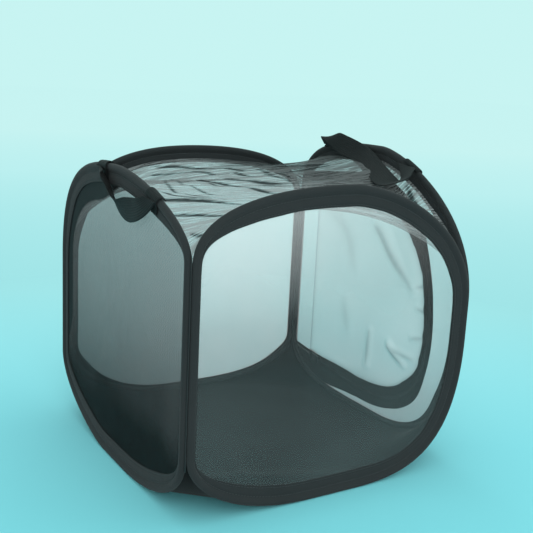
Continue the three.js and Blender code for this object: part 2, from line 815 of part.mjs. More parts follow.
// The loop swings about the line between the wire's two places under the patches.
function handleLoop(stations, handle) {
  const wireAt = (along) => inSection(onCrown(stations, along), bulbRadius, 0);
  const patchesAt = handle.patchShares.map((share) => (share * cageSpan) / 2);
  const [first, second] = patchesAt.map(wireAt);
  const line = second.clone().sub(first);
  const along = line.clone().normalize();
  const out = new THREE.Vector3(0, handle.side, 0);
  const up = new THREE.Vector3(-along.z, 0, along.x).multiplyScalar(Math.sign(along.x));
  const combine = (a, o, u) => along.clone().multiplyScalar(a).addScaledVector(out, o).addScaledVector(up, u);
  const angle = 2 * Math.PI * handle.turnShare;
  const radial = combine(0, Math.sin(angle), Math.cos(angle));
  const clear = patchRadius + strapThickness / 2 + loopGap;
  const endRow = (patchAt, turned) => [-1, 0, 1].map((k) => {
    const under = wireAt(patchAt + (turned * k * Math.sign(along.x) * strapWidth) / 2).sub(first);
    const rise = Math.max(under.dot(up), 0);
    return along.clone().multiplyScalar(under.dot(along)).addScaledVector(radial, clear + rise).add(first);
  });
  const { reach, routeShares } = handle;
  const places = routeShares.map(([a, o, u]) => combine(a * line.length(), o * reach, u * reach).add(first));
  const widths = routeShares.map(([, , , a, o, u]) => combine(a, o, u).normalize());
  const starts = endRow(patchesAt[0], 1);
  const ends = endRow(patchesAt[1], -1);
  const half = strapWidth / 2;
  const edge = (side) => new THREE.CatmullRomCurve3([
    starts[1 + side],
    ...places.map((p, i) => p.clone().addScaledVector(widths[i], side * half)),
    ends[1 + side],
  ]);
  const edges = [-1, 0, 1].map(edge);
  const rows = [];
  for (let k = 0; k <= strapRows; k++) rows.push(edges.map((curve) => curve.getPoint(k / strapRows)));
  return sheet(rows, strapThickness);
}

// Assembly

const cage = new THREE.Group();
const hoops = {};
hoopShares.forEach((shares, i) => {
  const turn = (i * Math.PI) / 2;
  const frame = new THREE.Group();
  frame.rotation.z = turn;
  frame.position.set(Math.sin(turn), -Math.cos(turn), 0).multiplyScalar(cageSpan / 2);
  frame.updateMatrix();
  const stations = hoopStations(shares);
  hoops[shares.name] = { stations, frame, place: frame.matrix };
  frame.add(
    named(`${shares.name}_sleeve`, sleeve(stations), cloth(colours.tape)),
    named(`${shares.name}_wire`, wire(stations), metal(colours.steel)),
    named(`${shares.name}_ferrule`, ferrule(stations), metal(colours.steel)),
  );
  cage.add(frame);
});

const plain = (name) => standing(panelOutline(hoops[name].stations), panelThickness);
hoops.front.frame.add(named('window_panel', plain('front'), clearSheet()));
hoops.back.frame.add(named('back_mesh', plain('back'), cloth(colours.mesh)));
hoops.left.frame.add(named('left_mesh', plain('left'), cloth(colours.mesh)));

const zip = zipStations();
const tapes = zipTapes(zip);
hoops.right.frame.add(
  named('right_mesh', rightPanel(hoops.right.stations, zip), cloth(colours.mesh)),
  named('zip_tape_frame', tapes.frame, cloth(colours.zip)),
  named('zip_tape_door', tapes.leaf, cloth(colours.zip)),
  named('door_mesh', doorPanel(zip), cloth(colours.mesh)),
  sliderGroup(),
);

Object.entries(handles).forEach(([name, handle]) => {
  const { stations, frame } = hoops[name];
  frame.add(named(`${name}_handle`, handleLoop(stations, handle), cloth(colours.webbing)));
  handle.patchShares.forEach((share, i) => {
    const sewn = patch(stations, (share * cageSpan) / 2);
    frame.add(named(`${name}_handle_patch_${i + 1}`, sewn, cloth(colours.webbing)));
  });
});

Object.keys(cornerShares).forEach((name) => cage.add(cornerSeam(name)));
cage.add(
  named('top_cover', roof(hoops), cloth(colours.mesh)),
  named('floor_cloth', floor(hoops), cloth(colours.floor)),
);

// The origin is on the ground under the middle of the whole cage, with its handles.
const box = new THREE.Box3().setFromObject(cage);
cage.position.set(-(box.min.x + box.max.x) / 2, -(box.min.y + box.max.y) / 2, 0);

const group = new THREE.Group();
group.add(cage);
export default group;
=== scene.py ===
"""Folding mesh insect cage. Lengths are millimetres in the cage's own frame: X runs across the clear window,
Y from the window to the back, Z up from the ground. Meshes are turned into metres in the row frame as they
are made."""
import math

import bpy
import numpy as np
from mathutils import Matrix, Vector
from mathutils.geometry import delaunay_2d_cdt

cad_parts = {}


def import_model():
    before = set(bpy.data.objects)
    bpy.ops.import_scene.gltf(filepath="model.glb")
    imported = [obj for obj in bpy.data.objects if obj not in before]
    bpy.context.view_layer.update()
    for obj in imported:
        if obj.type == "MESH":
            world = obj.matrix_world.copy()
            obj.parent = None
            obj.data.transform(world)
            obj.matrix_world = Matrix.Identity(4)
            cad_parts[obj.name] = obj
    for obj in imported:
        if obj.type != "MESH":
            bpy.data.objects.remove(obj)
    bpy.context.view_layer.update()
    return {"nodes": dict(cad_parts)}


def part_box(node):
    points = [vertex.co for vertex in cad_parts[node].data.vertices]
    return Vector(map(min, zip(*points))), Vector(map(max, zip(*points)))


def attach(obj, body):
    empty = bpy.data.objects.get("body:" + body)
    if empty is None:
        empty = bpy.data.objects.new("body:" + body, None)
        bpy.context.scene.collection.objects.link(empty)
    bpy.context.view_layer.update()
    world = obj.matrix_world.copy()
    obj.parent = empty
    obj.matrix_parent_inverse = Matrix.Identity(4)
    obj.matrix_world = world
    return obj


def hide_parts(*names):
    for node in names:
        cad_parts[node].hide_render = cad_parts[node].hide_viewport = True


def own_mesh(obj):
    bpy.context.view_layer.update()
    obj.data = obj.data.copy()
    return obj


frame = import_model()

MM = 0.001
front_low, front_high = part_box("front_sleeve")
right_low, right_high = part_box("right_sleeve")
MIDDLE = np.array([(front_low.x + front_high.x) / 2, (right_low.y + right_high.y) / 2, 0])

# Driving dimensions, as in the CAD
CAGE_SPAN = 300
CAGE_HEIGHT = 302.4
CORNER_INSET = 1.5
FOOT_RUN = 50
TAPE_WIDTH = 19
BULB_RADIUS = 3.1
FLANGE_HALF = 1.2
SLOT_DEPTH = 10.5
TIGHT_ROOM_SHARE = 0.8
TUCK_HEIGHT = 60
COVER_SEAT = 15
CLOTH_GAP = 0.3
CORNER_RAMP = 60  # on which a tape that is folded narrow along a corner's seam comes back to its full width
# The top and foot of each corner's seam, as shares of the height
CORNER_SHARES = {
    "front_left": (0.744, 0.2024),
    "front_right": (0.5486, 0.4325),
    "back_right": (0.7629, 0.1677),
    "back_left": (0.5744, 0.2292),
}
# The share of its width beside the wire that a tape keeps along each corner's seam
CORNER_ROOM_SHARES = {"front_left": 0.08, "front_right": 1, "back_right": 0.05, "back_left": 0.6}
# Each hoop's left and right corner, its crown's share of the height, the pulls of its top curves (up, in) and
# of its foot curves (down, to the heel) at its left and right, and the share of its width that a tape keeps
# at the foot
HOOP_SHARES = {
    "front": ("front_left", "front_right", 0.9415,
              ((0.78, 0.49), (0.63, 0.36)), ((0.42, 0.68), (0.9, 0.49)), 1),
    "right": ("front_right", "back_right", 1,
              ((0.69, 0.2), (0.9, 0.63)), ((0.67, 0.67), (0.68, 0.69)), 0.08),
    "back": ("back_right", "back_left", 0.9563,
             ((0.4, 0.8), (0.73, 0.68)), ((0.4, 0.8), (0.53, 0.53)), 0.2),
    "left": ("back_left", "front_left", 0.9444,
             ((0.9, 0.52), (0.6, 0.26)), ((0.6, 0.25), (0.64, 0.53)), 1),
}
SIDES = list(HOOP_SHARES)


# Meshes

def in_row(points):
    return np.asarray(points, float).reshape(-1, 3) * MM + MIDDLE


def unit(vectors):
    return vectors / np.linalg.norm(vectors, axis=-1)[..., None]


def running(points):
    """Length along a line of points at each of them."""
    return np.concatenate([[0], np.cumsum(np.linalg.norm(np.diff(points, axis=0), axis=1))])


def piece(name, points, faces, uvs, material, folds=None):
    """A mesh object from cage points in mm, faces, and UVs in mm for each corner of each face. folds says how
    much painted shade each point has, in creases where the cloth also lies double and in broader shaded places."""
    mesh = bpy.data.meshes.new(name)
    mesh.from_pydata(in_row(points).tolist(), [], faces)
    if uvs is not None:
        mesh.uv_layers.new(name="UVMap").data.foreach_set("uv", np.asarray(uvs, np.float32).ravel())
    if folds is not None:
        shade = mesh.attributes.new("fold_and_shade", "FLOAT", "POINT")
        shade.data.foreach_set("value", np.asarray(folds, np.float32))
    mesh.materials.append(material)
    mesh.polygons.foreach_set("use_smooth", [True] * len(mesh.polygons))
    mesh.update()
    thing = bpy.data.objects.new(name, mesh)
    bpy.context.scene.collection.objects.link(thing)
    return thing


def belong(thing, body, node=None):
    """What a piece rides on, and the node whose place it takes, if it takes one."""
    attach(thing, body)
    if node:
        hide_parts(node)


def grid_faces(rows, columns, closed=False):
    """Quads of a grid whose columns close on themselves, as its rows do if it is closed, and the row and
    column of each of their corners before they wrap round."""
    i, j = np.meshgrid(np.arange(rows if closed else rows - 1), np.arange(columns), indexing="ij")
    i, j = i.ravel(), j.ravel()
    corners = [(i, j), (i, j + 1), (i + 1, j + 1), (i + 1, j)]
    index = np.stack([(p % rows) * columns + q % columns for p, q in corners], 1)
    return index, np.stack([np.stack(c, 1) for c in corners], 1)


def swept(name, grid, material, closed=False):
    """A section carried along rows of points, as rows x columns x 3. Its ends meet or are capped."""
    rows, columns = grid.shape[:2]
    index, place = grid_faces(rows, columns, closed)
    middle, ring = grid[:, columns // 2], grid[0]
    along = running(np.append(middle, middle[:1], 0) if closed else middle)
    girth = running(np.append(ring, ring[:1], 0))
    uv = np.stack([along[place[..., 0]], girth[place[..., 1]]], -1).reshape(-1, 2)
    faces = index.tolist()
    if not closed:
        faces += [list(range(columns))[::-1], list(range((rows - 1) * columns, rows * columns))]
        uv = np.concatenate([uv, np.zeros((2 * columns, 2))])
    return piece(name, grid, faces, uv, material)


def area_of(points, faces):
    """Area in square metres of triangles between points in mm."""
    a, b, c = (points[faces[:, k]] for k in range(3))
    return float(np.linalg.norm(np.cross(b - a, c - a), axis=1).sum() / 2) * MM * MM


FILAMENT_SIDES = 5


def heading(points):
    return unit(np.gradient(points, axis=0))


def wound(name, centre, out, thick, material):
    """A round filament along points, with out the way from what it winds round."""
    across = np.cross(heading(centre), out)
    ring = math.tau * np.arange(FILAMENT_SIDES) / FILAMENT_SIDES
    grid = centre[:, None] + thick * (np.cos(ring)[None, :, None] * out[:, None]
                                      + np.sin(ring)[None, :, None] * across[:, None])
    return swept(name, grid, material)


# Hoops

def bezier(a, b, c, d, steps):
    t = np.linspace(0, 1, steps, endpoint=False)[:, None]
    a, b, c, d = (np.array(p, float) for p in (a, b, c, d))
    return (1 - t) ** 3 * a + 3 * (1 - t) ** 2 * t * b + 3 * (1 - t) * t * t * c + t ** 3 * d


def line(a, b, steps):
    t = np.linspace(0, 1, steps, endpoint=False)[:, None]
    return (1 - t) * np.array(a, float) + t * np.array(b, float)


def smooth(t):
    t = np.clip(t, 0, 1)
    return t * t * (3 - 2 * t)


def after(value, start, run):
    """From 0 at the start to 1 a run on, smoothly. A run below zero goes the other way."""
    return smooth((value - start) / run)


def mix(a, b, t):
    return a + (b - a) * t


class Hoop:
    """The outer edge of one hoop, by length along it from its foot's right end, and places beside it."""

    CURVE_STEPS = 60
    STATIONS = 360
    EVENED = 9  # stations to each side over which the tape's room is evened out

    def __init__(self, side):
        start, end, crown, top, foot, tuck = HOOP_SHARES[side]
        reach, heel, crown = CAGE_SPAN / 2 - CORNER_INSET, FOOT_RUN / 2, crown * CAGE_HEIGHT
        (left_top, left_foot), (right_top, right_foot) = (
            tuple(share * CAGE_HEIGHT for share in CORNER_SHARES[c]) for c in (start, end))
        (left_up, left_in), (right_up, right_in) = top
        (left_down, left_heel), (right_down, right_heel) = foot
        steps = self.CURVE_STEPS
        runs = [
            bezier((heel, 0), (mix(heel, reach, right_heel), 0), (reach, right_foot * (1 - right_down)),
                   (reach, right_foot), steps),
            line((reach, right_foot), (reach, right_top), steps),
            bezier((reach, right_top), (reach, mix(right_top, crown, right_up)), (right_in * reach, crown),
                   (0, crown), steps),
            bezier((0, crown), (-left_in * reach, crown), (-reach, mix(left_top, crown, left_up)),
                   (-reach, left_top), steps),
            line((-reach, left_top), (-reach, left_foot), steps),
            bezier((-reach, left_foot), (-reach, left_foot * (1 - left_down)),
                   (-mix(heel, reach, left_heel), 0), (-heel, 0), steps),
            line((-heel, 0), (heel, 0), steps),
        ]
        fine = np.concatenate(runs)
        closed = np.concatenate([fine, fine[:1]])
        lengths = running(closed)
        self.total = lengths[-1]
        self.marks = lengths[::steps]  # foot right, then up the right side, crown, left side and back
        self.s = np.linspace(0, self.total, self.STATIONS, endpoint=False)
        self.at = np.stack([np.interp(self.s, lengths, closed[:, k]) for k in (0, 1)], 1)
        ahead = np.roll(self.at, -1, 0) - self.at
        behind = self.at - np.roll(self.at, 1, 0)
        tangent = unit(ahead + behind)
        self.inward = np.stack([-tangent[:, 1], tangent[:, 0]], 1)
        crossed = behind[:, 0] * ahead[:, 1] - behind[:, 1] * ahead[:, 0]
        turn = np.abs(np.arctan2(crossed, (ahead * behind).sum(1)))
        bend = (self.total / self.STATIONS) / np.maximum(turn, 1e-9)
        tucked = mix(tuck, 1, smooth(self.at[:, 1] / TUCK_HEIGHT))
        room = np.minimum(1, np.minimum(TIGHT_ROOM_SHARE * bend / TAPE_WIDTH, tucked))
        for corner, sign in ((start, -1), (end, 1)):
            seam_top, seam_foot = (share * CAGE_HEIGHT for share in CORNER_SHARES[corner])
            past = np.maximum(self.at[:, 1] - seam_top, seam_foot - self.at[:, 1])
            squeezed = mix(CORNER_ROOM_SHARES[corner], 1, smooth(past / CORNER_RAMP))
            room = np.minimum(room, np.where(sign * self.at[:, 0] > 0, squeezed, 1))
        kernel = np.hanning(2 * self.EVENED + 1)
        kernel /= kernel.sum()
        padded = np.concatenate([room[-self.EVENED:], room, room[:self.EVENED]])
        self.room = np.convolve(padded, kernel, "valid")
        self.turn = SIDES.index(side) * math.pi / 2

    def _read(self, values, s):
        padded_s = np.concatenate([self.s - self.total, self.s, self.s + self.total])
        return np.interp(np.asarray(s, float) % self.total, padded_s, np.concatenate([values] * 3))

    def flat(self, s, edge):
        """Places in the hoop's own plane, in from its outer edge."""
        s, edge = np.broadcast_arrays(np.asarray(s, float), np.asarray(edge, float))
        within = edge - np.maximum(edge - 2 * BULB_RADIUS, 0) * (1 - self._read(self.room, s))
        return np.stack([self._read(self.at[:, k], s) + within * self._read(self.inward[:, k], s)
                         for k in (0, 1)], -1)

    def lift(self, flat, deep):
        """Cage points from places in the hoop's plane, deep towards the middle of the cage."""
        flat = np.asarray(flat, float)
        x, z, deep = np.broadcast_arrays(flat[..., 0], flat[..., 1], np.asarray(deep, float))
        y = deep - CAGE_SPAN / 2
        c, s = math.cos(self.turn), math.sin(self.turn)
        return np.stack([c * x - s * y, s * x + c * y, z], -1)

    def place(self, s, edge, deep):
        return self.lift(self.flat(s, edge), deep)

    def foot_point(self, deep):
        """The middle of its foot in the row frame."""
        return tuple(in_row(self.lift(np.array([0, 0]), deep))[0])

    def crown_at(self, along):
        """Length along the hoop where its upper half passes a distance along from its middle."""
        upper = (self.s >= self.marks[2]) & (self.s <= self.marks[4])
        xs, ss = self.at[upper, 0], self.s[upper]
        return float(np.interp(along, xs[::-1], ss[::-1]))


hoops = {side: Hoop(side) for side in SIDES}


# Materials

NOISE_SPAN = (0.3, 0.7)  # where most of a noise's values lie
CLOTH_TINT = (0.76, 1.0, 1.05)  # the dark cloth's greys are a little blue-green
PALE = (1.0, 0.98, 0.97)


class Value:
    """What a node gives. A sum or product of two, or of one and a number, is a node too."""

    def __init__(self, nodes, socket):
        self.nodes, self.socket = nodes, socket

    def __add__(self, other):
        return self.nodes.math("ADD", self, other)

    def __mul__(self, other):
        return self.nodes.math("MULTIPLY", self, other)

    __rmul__ = __mul__

    def most(self, other):
        return self.nodes.math("MAXIMUM", self, other)

    def least(self, other):
        return self.nodes.math("MINIMUM", self, other)

    def ramp(self, low, high, first=0.0, last=1.0):
        """From first to last while this goes from low to high."""
        return self.nodes.value("Result", "ShaderNodeMapRange", {
            "Value": self, "From Min": low, "From Max": high, "To Min": first, "To Max": last})

    def part(self, axis):
        return self.nodes.value(axis, "ShaderNodeSeparateXYZ", {"Vector": self})


class Nodes:
    """A node tree, and short ways to make its nodes."""

    def __init__(self, tree):
        self.tree = tree

    def put(self, value, socket):
        if isinstance(value, Value):
            self.tree.links.new(value.socket, socket)
        else:
            socket.default_value = value

    def add(self, kind, inputs=(), **settings):
        node = self.tree.nodes.new(kind)
        for key, value in settings.items():
            setattr(node, key, value)
        for key, value in dict(inputs).items():
            self.put(value, node.inputs[key])
        return node

    def value(self, output, kind, inputs=(), **settings):
        return Value(self, self.add(kind, inputs, **settings).outputs[output])

    def math(self, operation, a, b=0.0):
        return self.value(0, "ShaderNodeMath", {0: a, 1: b}, operation=operation)

    def seen(self, *rays):
        """1 for rays of these kinds, and 0 for the others."""
        path = self.add("ShaderNodeLightPath")
        found = Value(self, path.outputs[f"Is {rays[0]} Ray"])
        for ray in rays[1:]:
            found = found.most(Value(self, path.outputs[f"Is {ray} Ray"]))
        return found

    def show(self, share, a, b, output):
        """Gives the output a mix of two surfaces."""
        self.put(self.value(0, "ShaderNodeMixShader", {0: share, 1: a, 2: b}),
                 self.tree.nodes[output].inputs["Surface"])


class Shader(Nodes):
    """A node material with a Principled shader."""

    def __init__(self, name, sockets):
        self.material = bpy.data.materials.new(name)
        self.material.use_nodes = True
        super().__init__(self.material.node_tree)
        self.surface = self.tree.nodes["Principled BSDF"]
        self.set(sockets)
        self.uv = self.value("UV", "ShaderNodeUVMap", uv_map="UVMap")
        self.rest = self.value("Object", "ShaderNodeTexCoord")

    def set(self, sockets):
        for key, value in sockets.items():
            self.put(value, self.surface.inputs[key])

    def noise(self, scale, detail=3.0, where=None):
        return self.value("Fac", "ShaderNodeTexNoise", {
            "Vector": where or self.rest, "Scale": scale, "Detail": detail, "Roughness": 0.55})

    def blend(self, share, a, b):
        return self.value(2, "ShaderNodeMix", {0: share, 6: a, 7: b}, data_type="RGBA")

    def bands(self, axis, pitch):
        """A wave from 0 to 1 across UV lengths in mm: axis 0 runs along the piece and 1 across it."""
        return (self.math("SINE", self.uv.part(axis) * (math.tau / pitch)) + 1.0) * 0.5

    def bump(self, height, distance, strength):
        self.set({"Normal": self.value("Normal", "ShaderNodeBump", {
            "Height": height, "Distance": distance, "Strength": strength})})


def grey(value, tint=CLOTH_TINT):
    return tuple(value * t for t in tint) + (1.0,)


def tape_cloth(name, level, rib=0.9):
    """Ribbed binding tape: ribs across it, a fine weave, and slightly worn, paler high places."""
    shader = Shader(name, {"Sheen Weight": 0.06, "Sheen Roughness": 0.45, "Specular IOR Level": 0.2})
    ribs, weave = shader.bands(0, rib), shader.bands(1, rib * 0.6)
    cloudy, fuzz = shader.noise(14), shader.noise(900, 2)
    tone = 0.6 * cloudy + 0.25 * ribs
    shader.set({"Base Color": shader.blend(tone.ramp(0.2, 0.75), grey(level * 0.72), grey(level * 1.35)),
                "Roughness": cloudy.ramp(*NOISE_SPAN, 0.72, 0.9)})
    shader.bump(0.6 * ribs + 0.25 * weave + 0.3 * fuzz, 0.00025, 0.7)
    return shader.material


NET_PITCH = 1.1
NET_HEIGHTS = (0.04, 0.28)  # the heights in metres between which a net's painted shade changes, darker and denser towards its foot
FOLD_SHADE_GREY, FOLD_COVER = 0.012, 0.7  # a net's colour where shade is painted on it and where it lies double, and how much more it hides there
# Drawn lines: their noise's scale along and across them, its detail, their width, and the strength between
NET_STREAKS = (((0.006, 0.11, 1), 2, 0.05, 0), ((0.02, 0.33, 1), 3, 0.09, -0.2))


def net(name, low, high, cover, tint, opening=0.09, streak=0.0):
    """Open net: two sets of threads with clear holes between them. low and high are its threads' greys at
    its foot and top, between which shade is painted on it, cover is the share that they hide at half its
    height, and opening is how much more they hide at its foot and less at its top, which is painted shade too.
    streak makes drawn lines in it along its U."""
    shader = Shader(name, {"Roughness": 0.75, "Specular IOR Level": 0.2})
    threads = shader.bands(0, NET_PITCH).most(shader.bands(1, NET_PITCH))
    cloudy, height = shader.noise(9, 2), shader.rest.part(2)
    hidden = threads.ramp(0.35, 0.95, -0.2, 0.2) + (cover - 0.02) + cloudy.ramp(*NOISE_SPAN, -0.04, 0.04)
    # Painted shade: the net hides more towards its foot and less towards its top.
    hidden += height.ramp(*NET_HEIGHTS, opening, -opening)
    if streak:
        for scale, detail, width, between in NET_STREAKS:
            drawn = shader.value("Vector", "ShaderNodeMapping", {"Vector": shader.uv, "Scale": scale})
            ridge = shader.math("ABSOLUTE", shader.noise(1.0, detail, drawn) + -0.5)
            hidden += ridge.ramp(0.0, width, streak, streak * between)
    # The attribute marks where the net lies double and where shade is painted on it: there it darkens and hides
    # more.
    fold_and_shade = shader.value("Fac", "ShaderNodeAttribute", attribute_name="fold_and_shade")
    hidden += FOLD_COVER * fold_and_shade
    # Painted shade: the threads are darker towards the foot and paler towards the top.
    tone = height.ramp(*NET_HEIGHTS) + cloudy.ramp(*NOISE_SPAN, -0.1, 0.1)
    plain = shader.blend(tone.most(0.0), grey(low, tint), grey(high, tint))
    shader.set({"Alpha": hidden.most(0.05).least(0.97),
                "Base Color": shader.blend(fold_and_shade.ramp(0.0, 0.4), plain, grey(FOLD_SHADE_GREY))})
    shader.bump(threads, 0.0001, 0.5)
    return shader.material


# Colours of the haze and its painted reflection, low down and high up.
HAZE_REFLECTION_LOW, HAZE_REFLECTION_HIGH = (0.6, 0.95, 0.97, 1), (0.88, 0.96, 0.96, 1)


def clear_sheet(name):
    """Clear soft plastic with a faint haze, and a painted reflection that makes it whiter and more opaque
    towards its top left.
    """
    shader = Shader(name, {"Roughness": 0.12, "IOR": 1.45})
    height, across = shader.rest.part(2), shader.rest.part(0)
    # Painted reflection, strongest high up at the left, over a faint haze that thins towards the top.
    haze_and_reflection = height.ramp(0.17, 0.27, 0.0, 0.2) * across.ramp(-0.1, 0.1, 1, 0.15)
    haze_and_reflection += height.ramp(0.03, 0.18, 0.026, 0.014)
    shader.set({"Alpha": haze_and_reflection * shader.noise(6, 2).ramp(*NOISE_SPAN, 0.8, 1.2),
                "Base Color": shader.blend(height.ramp(0.12, 0.22), HAZE_REFLECTION_LOW, HAZE_REFLECTION_HIGH)})
    shader.bump(shader.noise(22, 2), 0.002, 0.3)
    return shader.material


def floor_weave(name):
    shader = Shader(name, {"Roughness": 0.88, "Sheen Weight": 0.04, "Specular IOR Level": 0.15})
    threads, cloudy = shader.bands(0, 0.7) * shader.bands(1, 0.7), shader.noise(16)
    shader.set({"Base Color": shader.blend(cloudy.ramp(*NOISE_SPAN), grey(0.003), grey(0.009))})
    shader.bump(0.01 * threads + cloudy, 0.0004, 0.5)
    return shader.material


def webbing_cloth(name):
    """Webbing: ribs along the strap's length crossed by fine weft."""
    shader = Shader(name, {"Roughness": 0.7, "Sheen Weight": 0.02, "Sheen Roughness": 0.4,
                           "Specular IOR Level": 0.2})
    ribs, weft = shader.bands(1, 2.2), shader.bands(0, 1.1)
    tone = 0.4 * weft + 0.6 * shader.noise(20)
    shader.set({"Base Color": shader.blend(tone.ramp(0.2, 0.8), grey(0.004), grey(0.011))})
    shader.bump(0.6 * ribs + weft, 0.0004, 0.8)
    return shader.material


def thread_fibre(name, level):
    shader = Shader(name, {"Roughness": 0.6})
    twist = shader.noise(1400, 2)
    shader.set({"Base Color": shader.blend(twist, grey(level * 0.7), grey(level * 1.4))})
    shader.bump(twist, 0.0001, 0.5)
    return shader.material


def enamel(name):
    shader = Shader(name, {"Coat Weight": 0.4})
    worn = shader.noise(700)
    shader.set({"Base Color": shader.blend(worn.ramp(0.62, 0.72), grey(0.02), (0.16, 0.16, 0.17, 1)),
                "Roughness": worn.ramp(*NOISE_SPAN, 0.28, 0.45)})
    shader.bump(worn, 0.00005, 0.4)
    return shader.material


def steel(name, level):
    shader = Shader(name, {"Metallic": 1.0})
    drawn = shader.noise(1200, 2)
    shader.set({"Base Color": shader.blend(drawn, grey(level * 0.8, (1, 1, 1)), grey(level, (1, 1, 1.02))),
                "Roughness": drawn.ramp(*NOISE_SPAN, 0.22, 0.4)})
    return shader.material


TAPE = tape_cloth("binding_tape", 0.023)
ZIP_TAPE = tape_cloth("zip_tape_cloth", 0.013, rib=1.3)
COIL = thread_fibre("nylon_coil", 0.013)
THREAD = thread_fibre("sewing_thread", 0.03)
SEAM_THREAD = thread_fibre("seam_thread", 0.014)
# One net cloth in lit and shaded copies: the left one's threads are painted nearly black as shaded, the back,
# right and door ones painted pale as lit, and the roof's grey lies between them.
SHADED_LEFT_NET = net("shaded_left_net_cloth", 0.002, 0.165, 0.69, (0.85, 1.0, 1.02))
LIT_BACK_NET = net("lit_back_net_cloth", 0.66, 0.9, 0.47, PALE, opening=0.2)
LIT_DOOR_NET = net("lit_door_net_cloth", 0.75, 0.85, 0.52, PALE)
ROOF_NET = net("roof_net_cloth", 0.26, 0.3, 0.3, (0.85, 1.0, 1.0), opening=0, streak=0.5)
CLEAR = clear_sheet("clear_plastic")
FLOOR_CLOTH = floor_weave("floor_weave")
WEBBING = webbing_cloth("webbing")
ENAMEL = enamel("black_enamel")
WIRE_STEEL = steel("spring_steel", 0.55)
CRIMP_STEEL = steel("crimp_steel", 0.5)


# Stitching

STITCH_PITCH, STITCH_LENGTH, STITCH_RADIUS, STITCH_SIDES = 3.4, 2.7, 0.26, 5
# Rings of a stitch: the share of its length, its thickness, and its height above the cloth in radii
STITCH_RINGS = ((0, 0.45, -0.7), (0.18, 0.95, 0.15), (0.5, 1, 0.4), (0.82, 0.95, 0.15), (1, 0.45, -0.7))


def stitches(name, starts, ends, ups):
    """Short raised threads from starts to ends. Both ends dip into the cloth below."""
    side = unit(np.cross(unit(ends - starts), ups))
    rings = []
    for share, swell, rise in STITCH_RINGS:
        centre = starts + share * (ends - starts) + rise * STITCH_RADIUS * ups
        for k in range(STITCH_SIDES):
            angle = math.tau * k / STITCH_SIDES
            rings.append(centre + STITCH_RADIUS * swell * (math.cos(angle) * side + math.sin(angle) * ups))
    block = len(STITCH_RINGS) * STITCH_SIDES
    index, _ = grid_faces(len(STITCH_RINGS), STITCH_SIDES)
    faces = (index[None] + block * np.arange(len(starts))[:, None, None]).reshape(-1, 4).tolist()
    for base in range(0, block * len(starts), block):
        faces.append([base + j for j in range(STITCH_SIDES)][::-1])
        faces.append([base + block - STITCH_SIDES + j for j in range(STITCH_SIDES)])
    return piece(name, np.stack(rings, 1).reshape(-1, 3), faces, None, THREAD)


# Sleeves

LIP = TAPE_WIDTH - 0.05
SECTION_HALF = [  # how far in from the hoop's outer edge, and how far to each side of its plane
    (LIP - 0.7, 0.25), (LIP, 0.5), (LIP, 0.9), (LIP - 0.5, 1.15), (LIP - 1.3, 1.15), (LIP - 1.8, 0.86),
    (LIP - 2.3, 1.15), (LIP - 4, 1.28), (LIP - 6.2, 1.3), (LIP - 8.4, 1.25),
    (9.4, 1.12), (8.9, 0.84), (8.4, 1.12), (7.4, 1.5), (6.4, 2.1), (5.5, 2.65),
    (4.3, 3), (3.1, 3.12), (1.9, 2.88), (0.9, 2.2), (0.25, 1.25), (0, 0),
]
STITCH_ROWS = ((8.9, 0.96), (LIP - 1.8, 0.98))  # in the two grooves of the section, just above them
# The seed of the first hoop's waves, how many go round a hoop, and their size
EDGE_SEED, EDGE_WAVES, EDGE_WAVE_SIZE = 10, (7, 11, 17, 29), 0.55
PUCKER_SEED, PUCKER_WAVES, PUCKER_SIZE = 20, (23, 41, 67, 103), 0.35


def ripple(s, total, seed, waves, size):
    """A gentle closed wave along a hoop, the same on every run."""
    random = np.random.default_rng(seed)
    value = np.zeros_like(np.asarray(s, float))
    for wave in waves:
        value += random.uniform(0.4, 1) * np.sin(math.tau * wave * s / total + random.uniform(0, math.tau))
    return size * value / len(waves)


def sleeve(side, number):
    hoop = hoops[side]

    def cloth_at(s, edge, deep):
        """A place of the cloth, which waves and puckers the more, the nearer it is to its free edge."""
        loose = np.clip((edge - 2 * BULB_RADIUS) / (TAPE_WIDTH - 2 * BULB_RADIUS), 0, 1)
        wave = ripple(s, hoop.total, EDGE_SEED + number, EDGE_WAVES, EDGE_WAVE_SIZE)
        pucker = ripple(s, hoop.total, PUCKER_SEED + number, PUCKER_WAVES, PUCKER_SIZE)
        return hoop.place(s, edge + loose * wave, deep + loose * (1 - 0.4 * loose) * pucker)

    edge, half = (np.array(v) for v in zip(*SECTION_HALF))
    edge = np.concatenate([edge, edge[-2::-1]])[None]
    deep = np.concatenate([half, -half[-2::-1]])[None]
    cloth = swept(f"{side}_sleeve_tape", cloth_at(hoop.s[:, None], edge, deep), TAPE, closed=True)
    belong(cloth, f"{side}_frame", f"{side}_sleeve")

    count = int(hoop.total / STITCH_PITCH)
    begin = np.arange(count) * hoop.total / count
    starts, ends, ups = [], [], []
    for row, seat in STITCH_ROWS:
        for face in (1, -1):
            starts.append(cloth_at(begin, row, face * seat))
            ends.append(cloth_at(begin + STITCH_LENGTH, row, face * seat))
            up = hoop.lift(np.zeros(2), face) - hoop.lift(np.zeros(2), 0)
            ups.append(np.repeat(up[None], count, 0))
    sewn = stitches(f"{side}_sleeve_stitching", *(np.concatenate(v) for v in (starts, ends, ups)))
    belong(sewn, f"{side}_frame")


for number, side in enumerate(SIDES):
    sleeve(side, number)


# Panels

def inside(outline, points):
    """True for the points that lie inside a closed outline."""
    x, y = points[:, 0][:, None], points[:, 1][:, None]
    a, b = outline, np.roll(outline, -1, 0)
    cross = (a[:, 1] > y) != (b[:, 1] > y)
    with np.errstate(divide="ignore", invalid="ignore"):
        at = (b[:, 0] - a[:, 0]) * (y - a[:, 1]) / (b[:, 1] - a[:, 1]) + a[:, 0]
    return (cross & (x < at)).sum(1) % 2 == 1


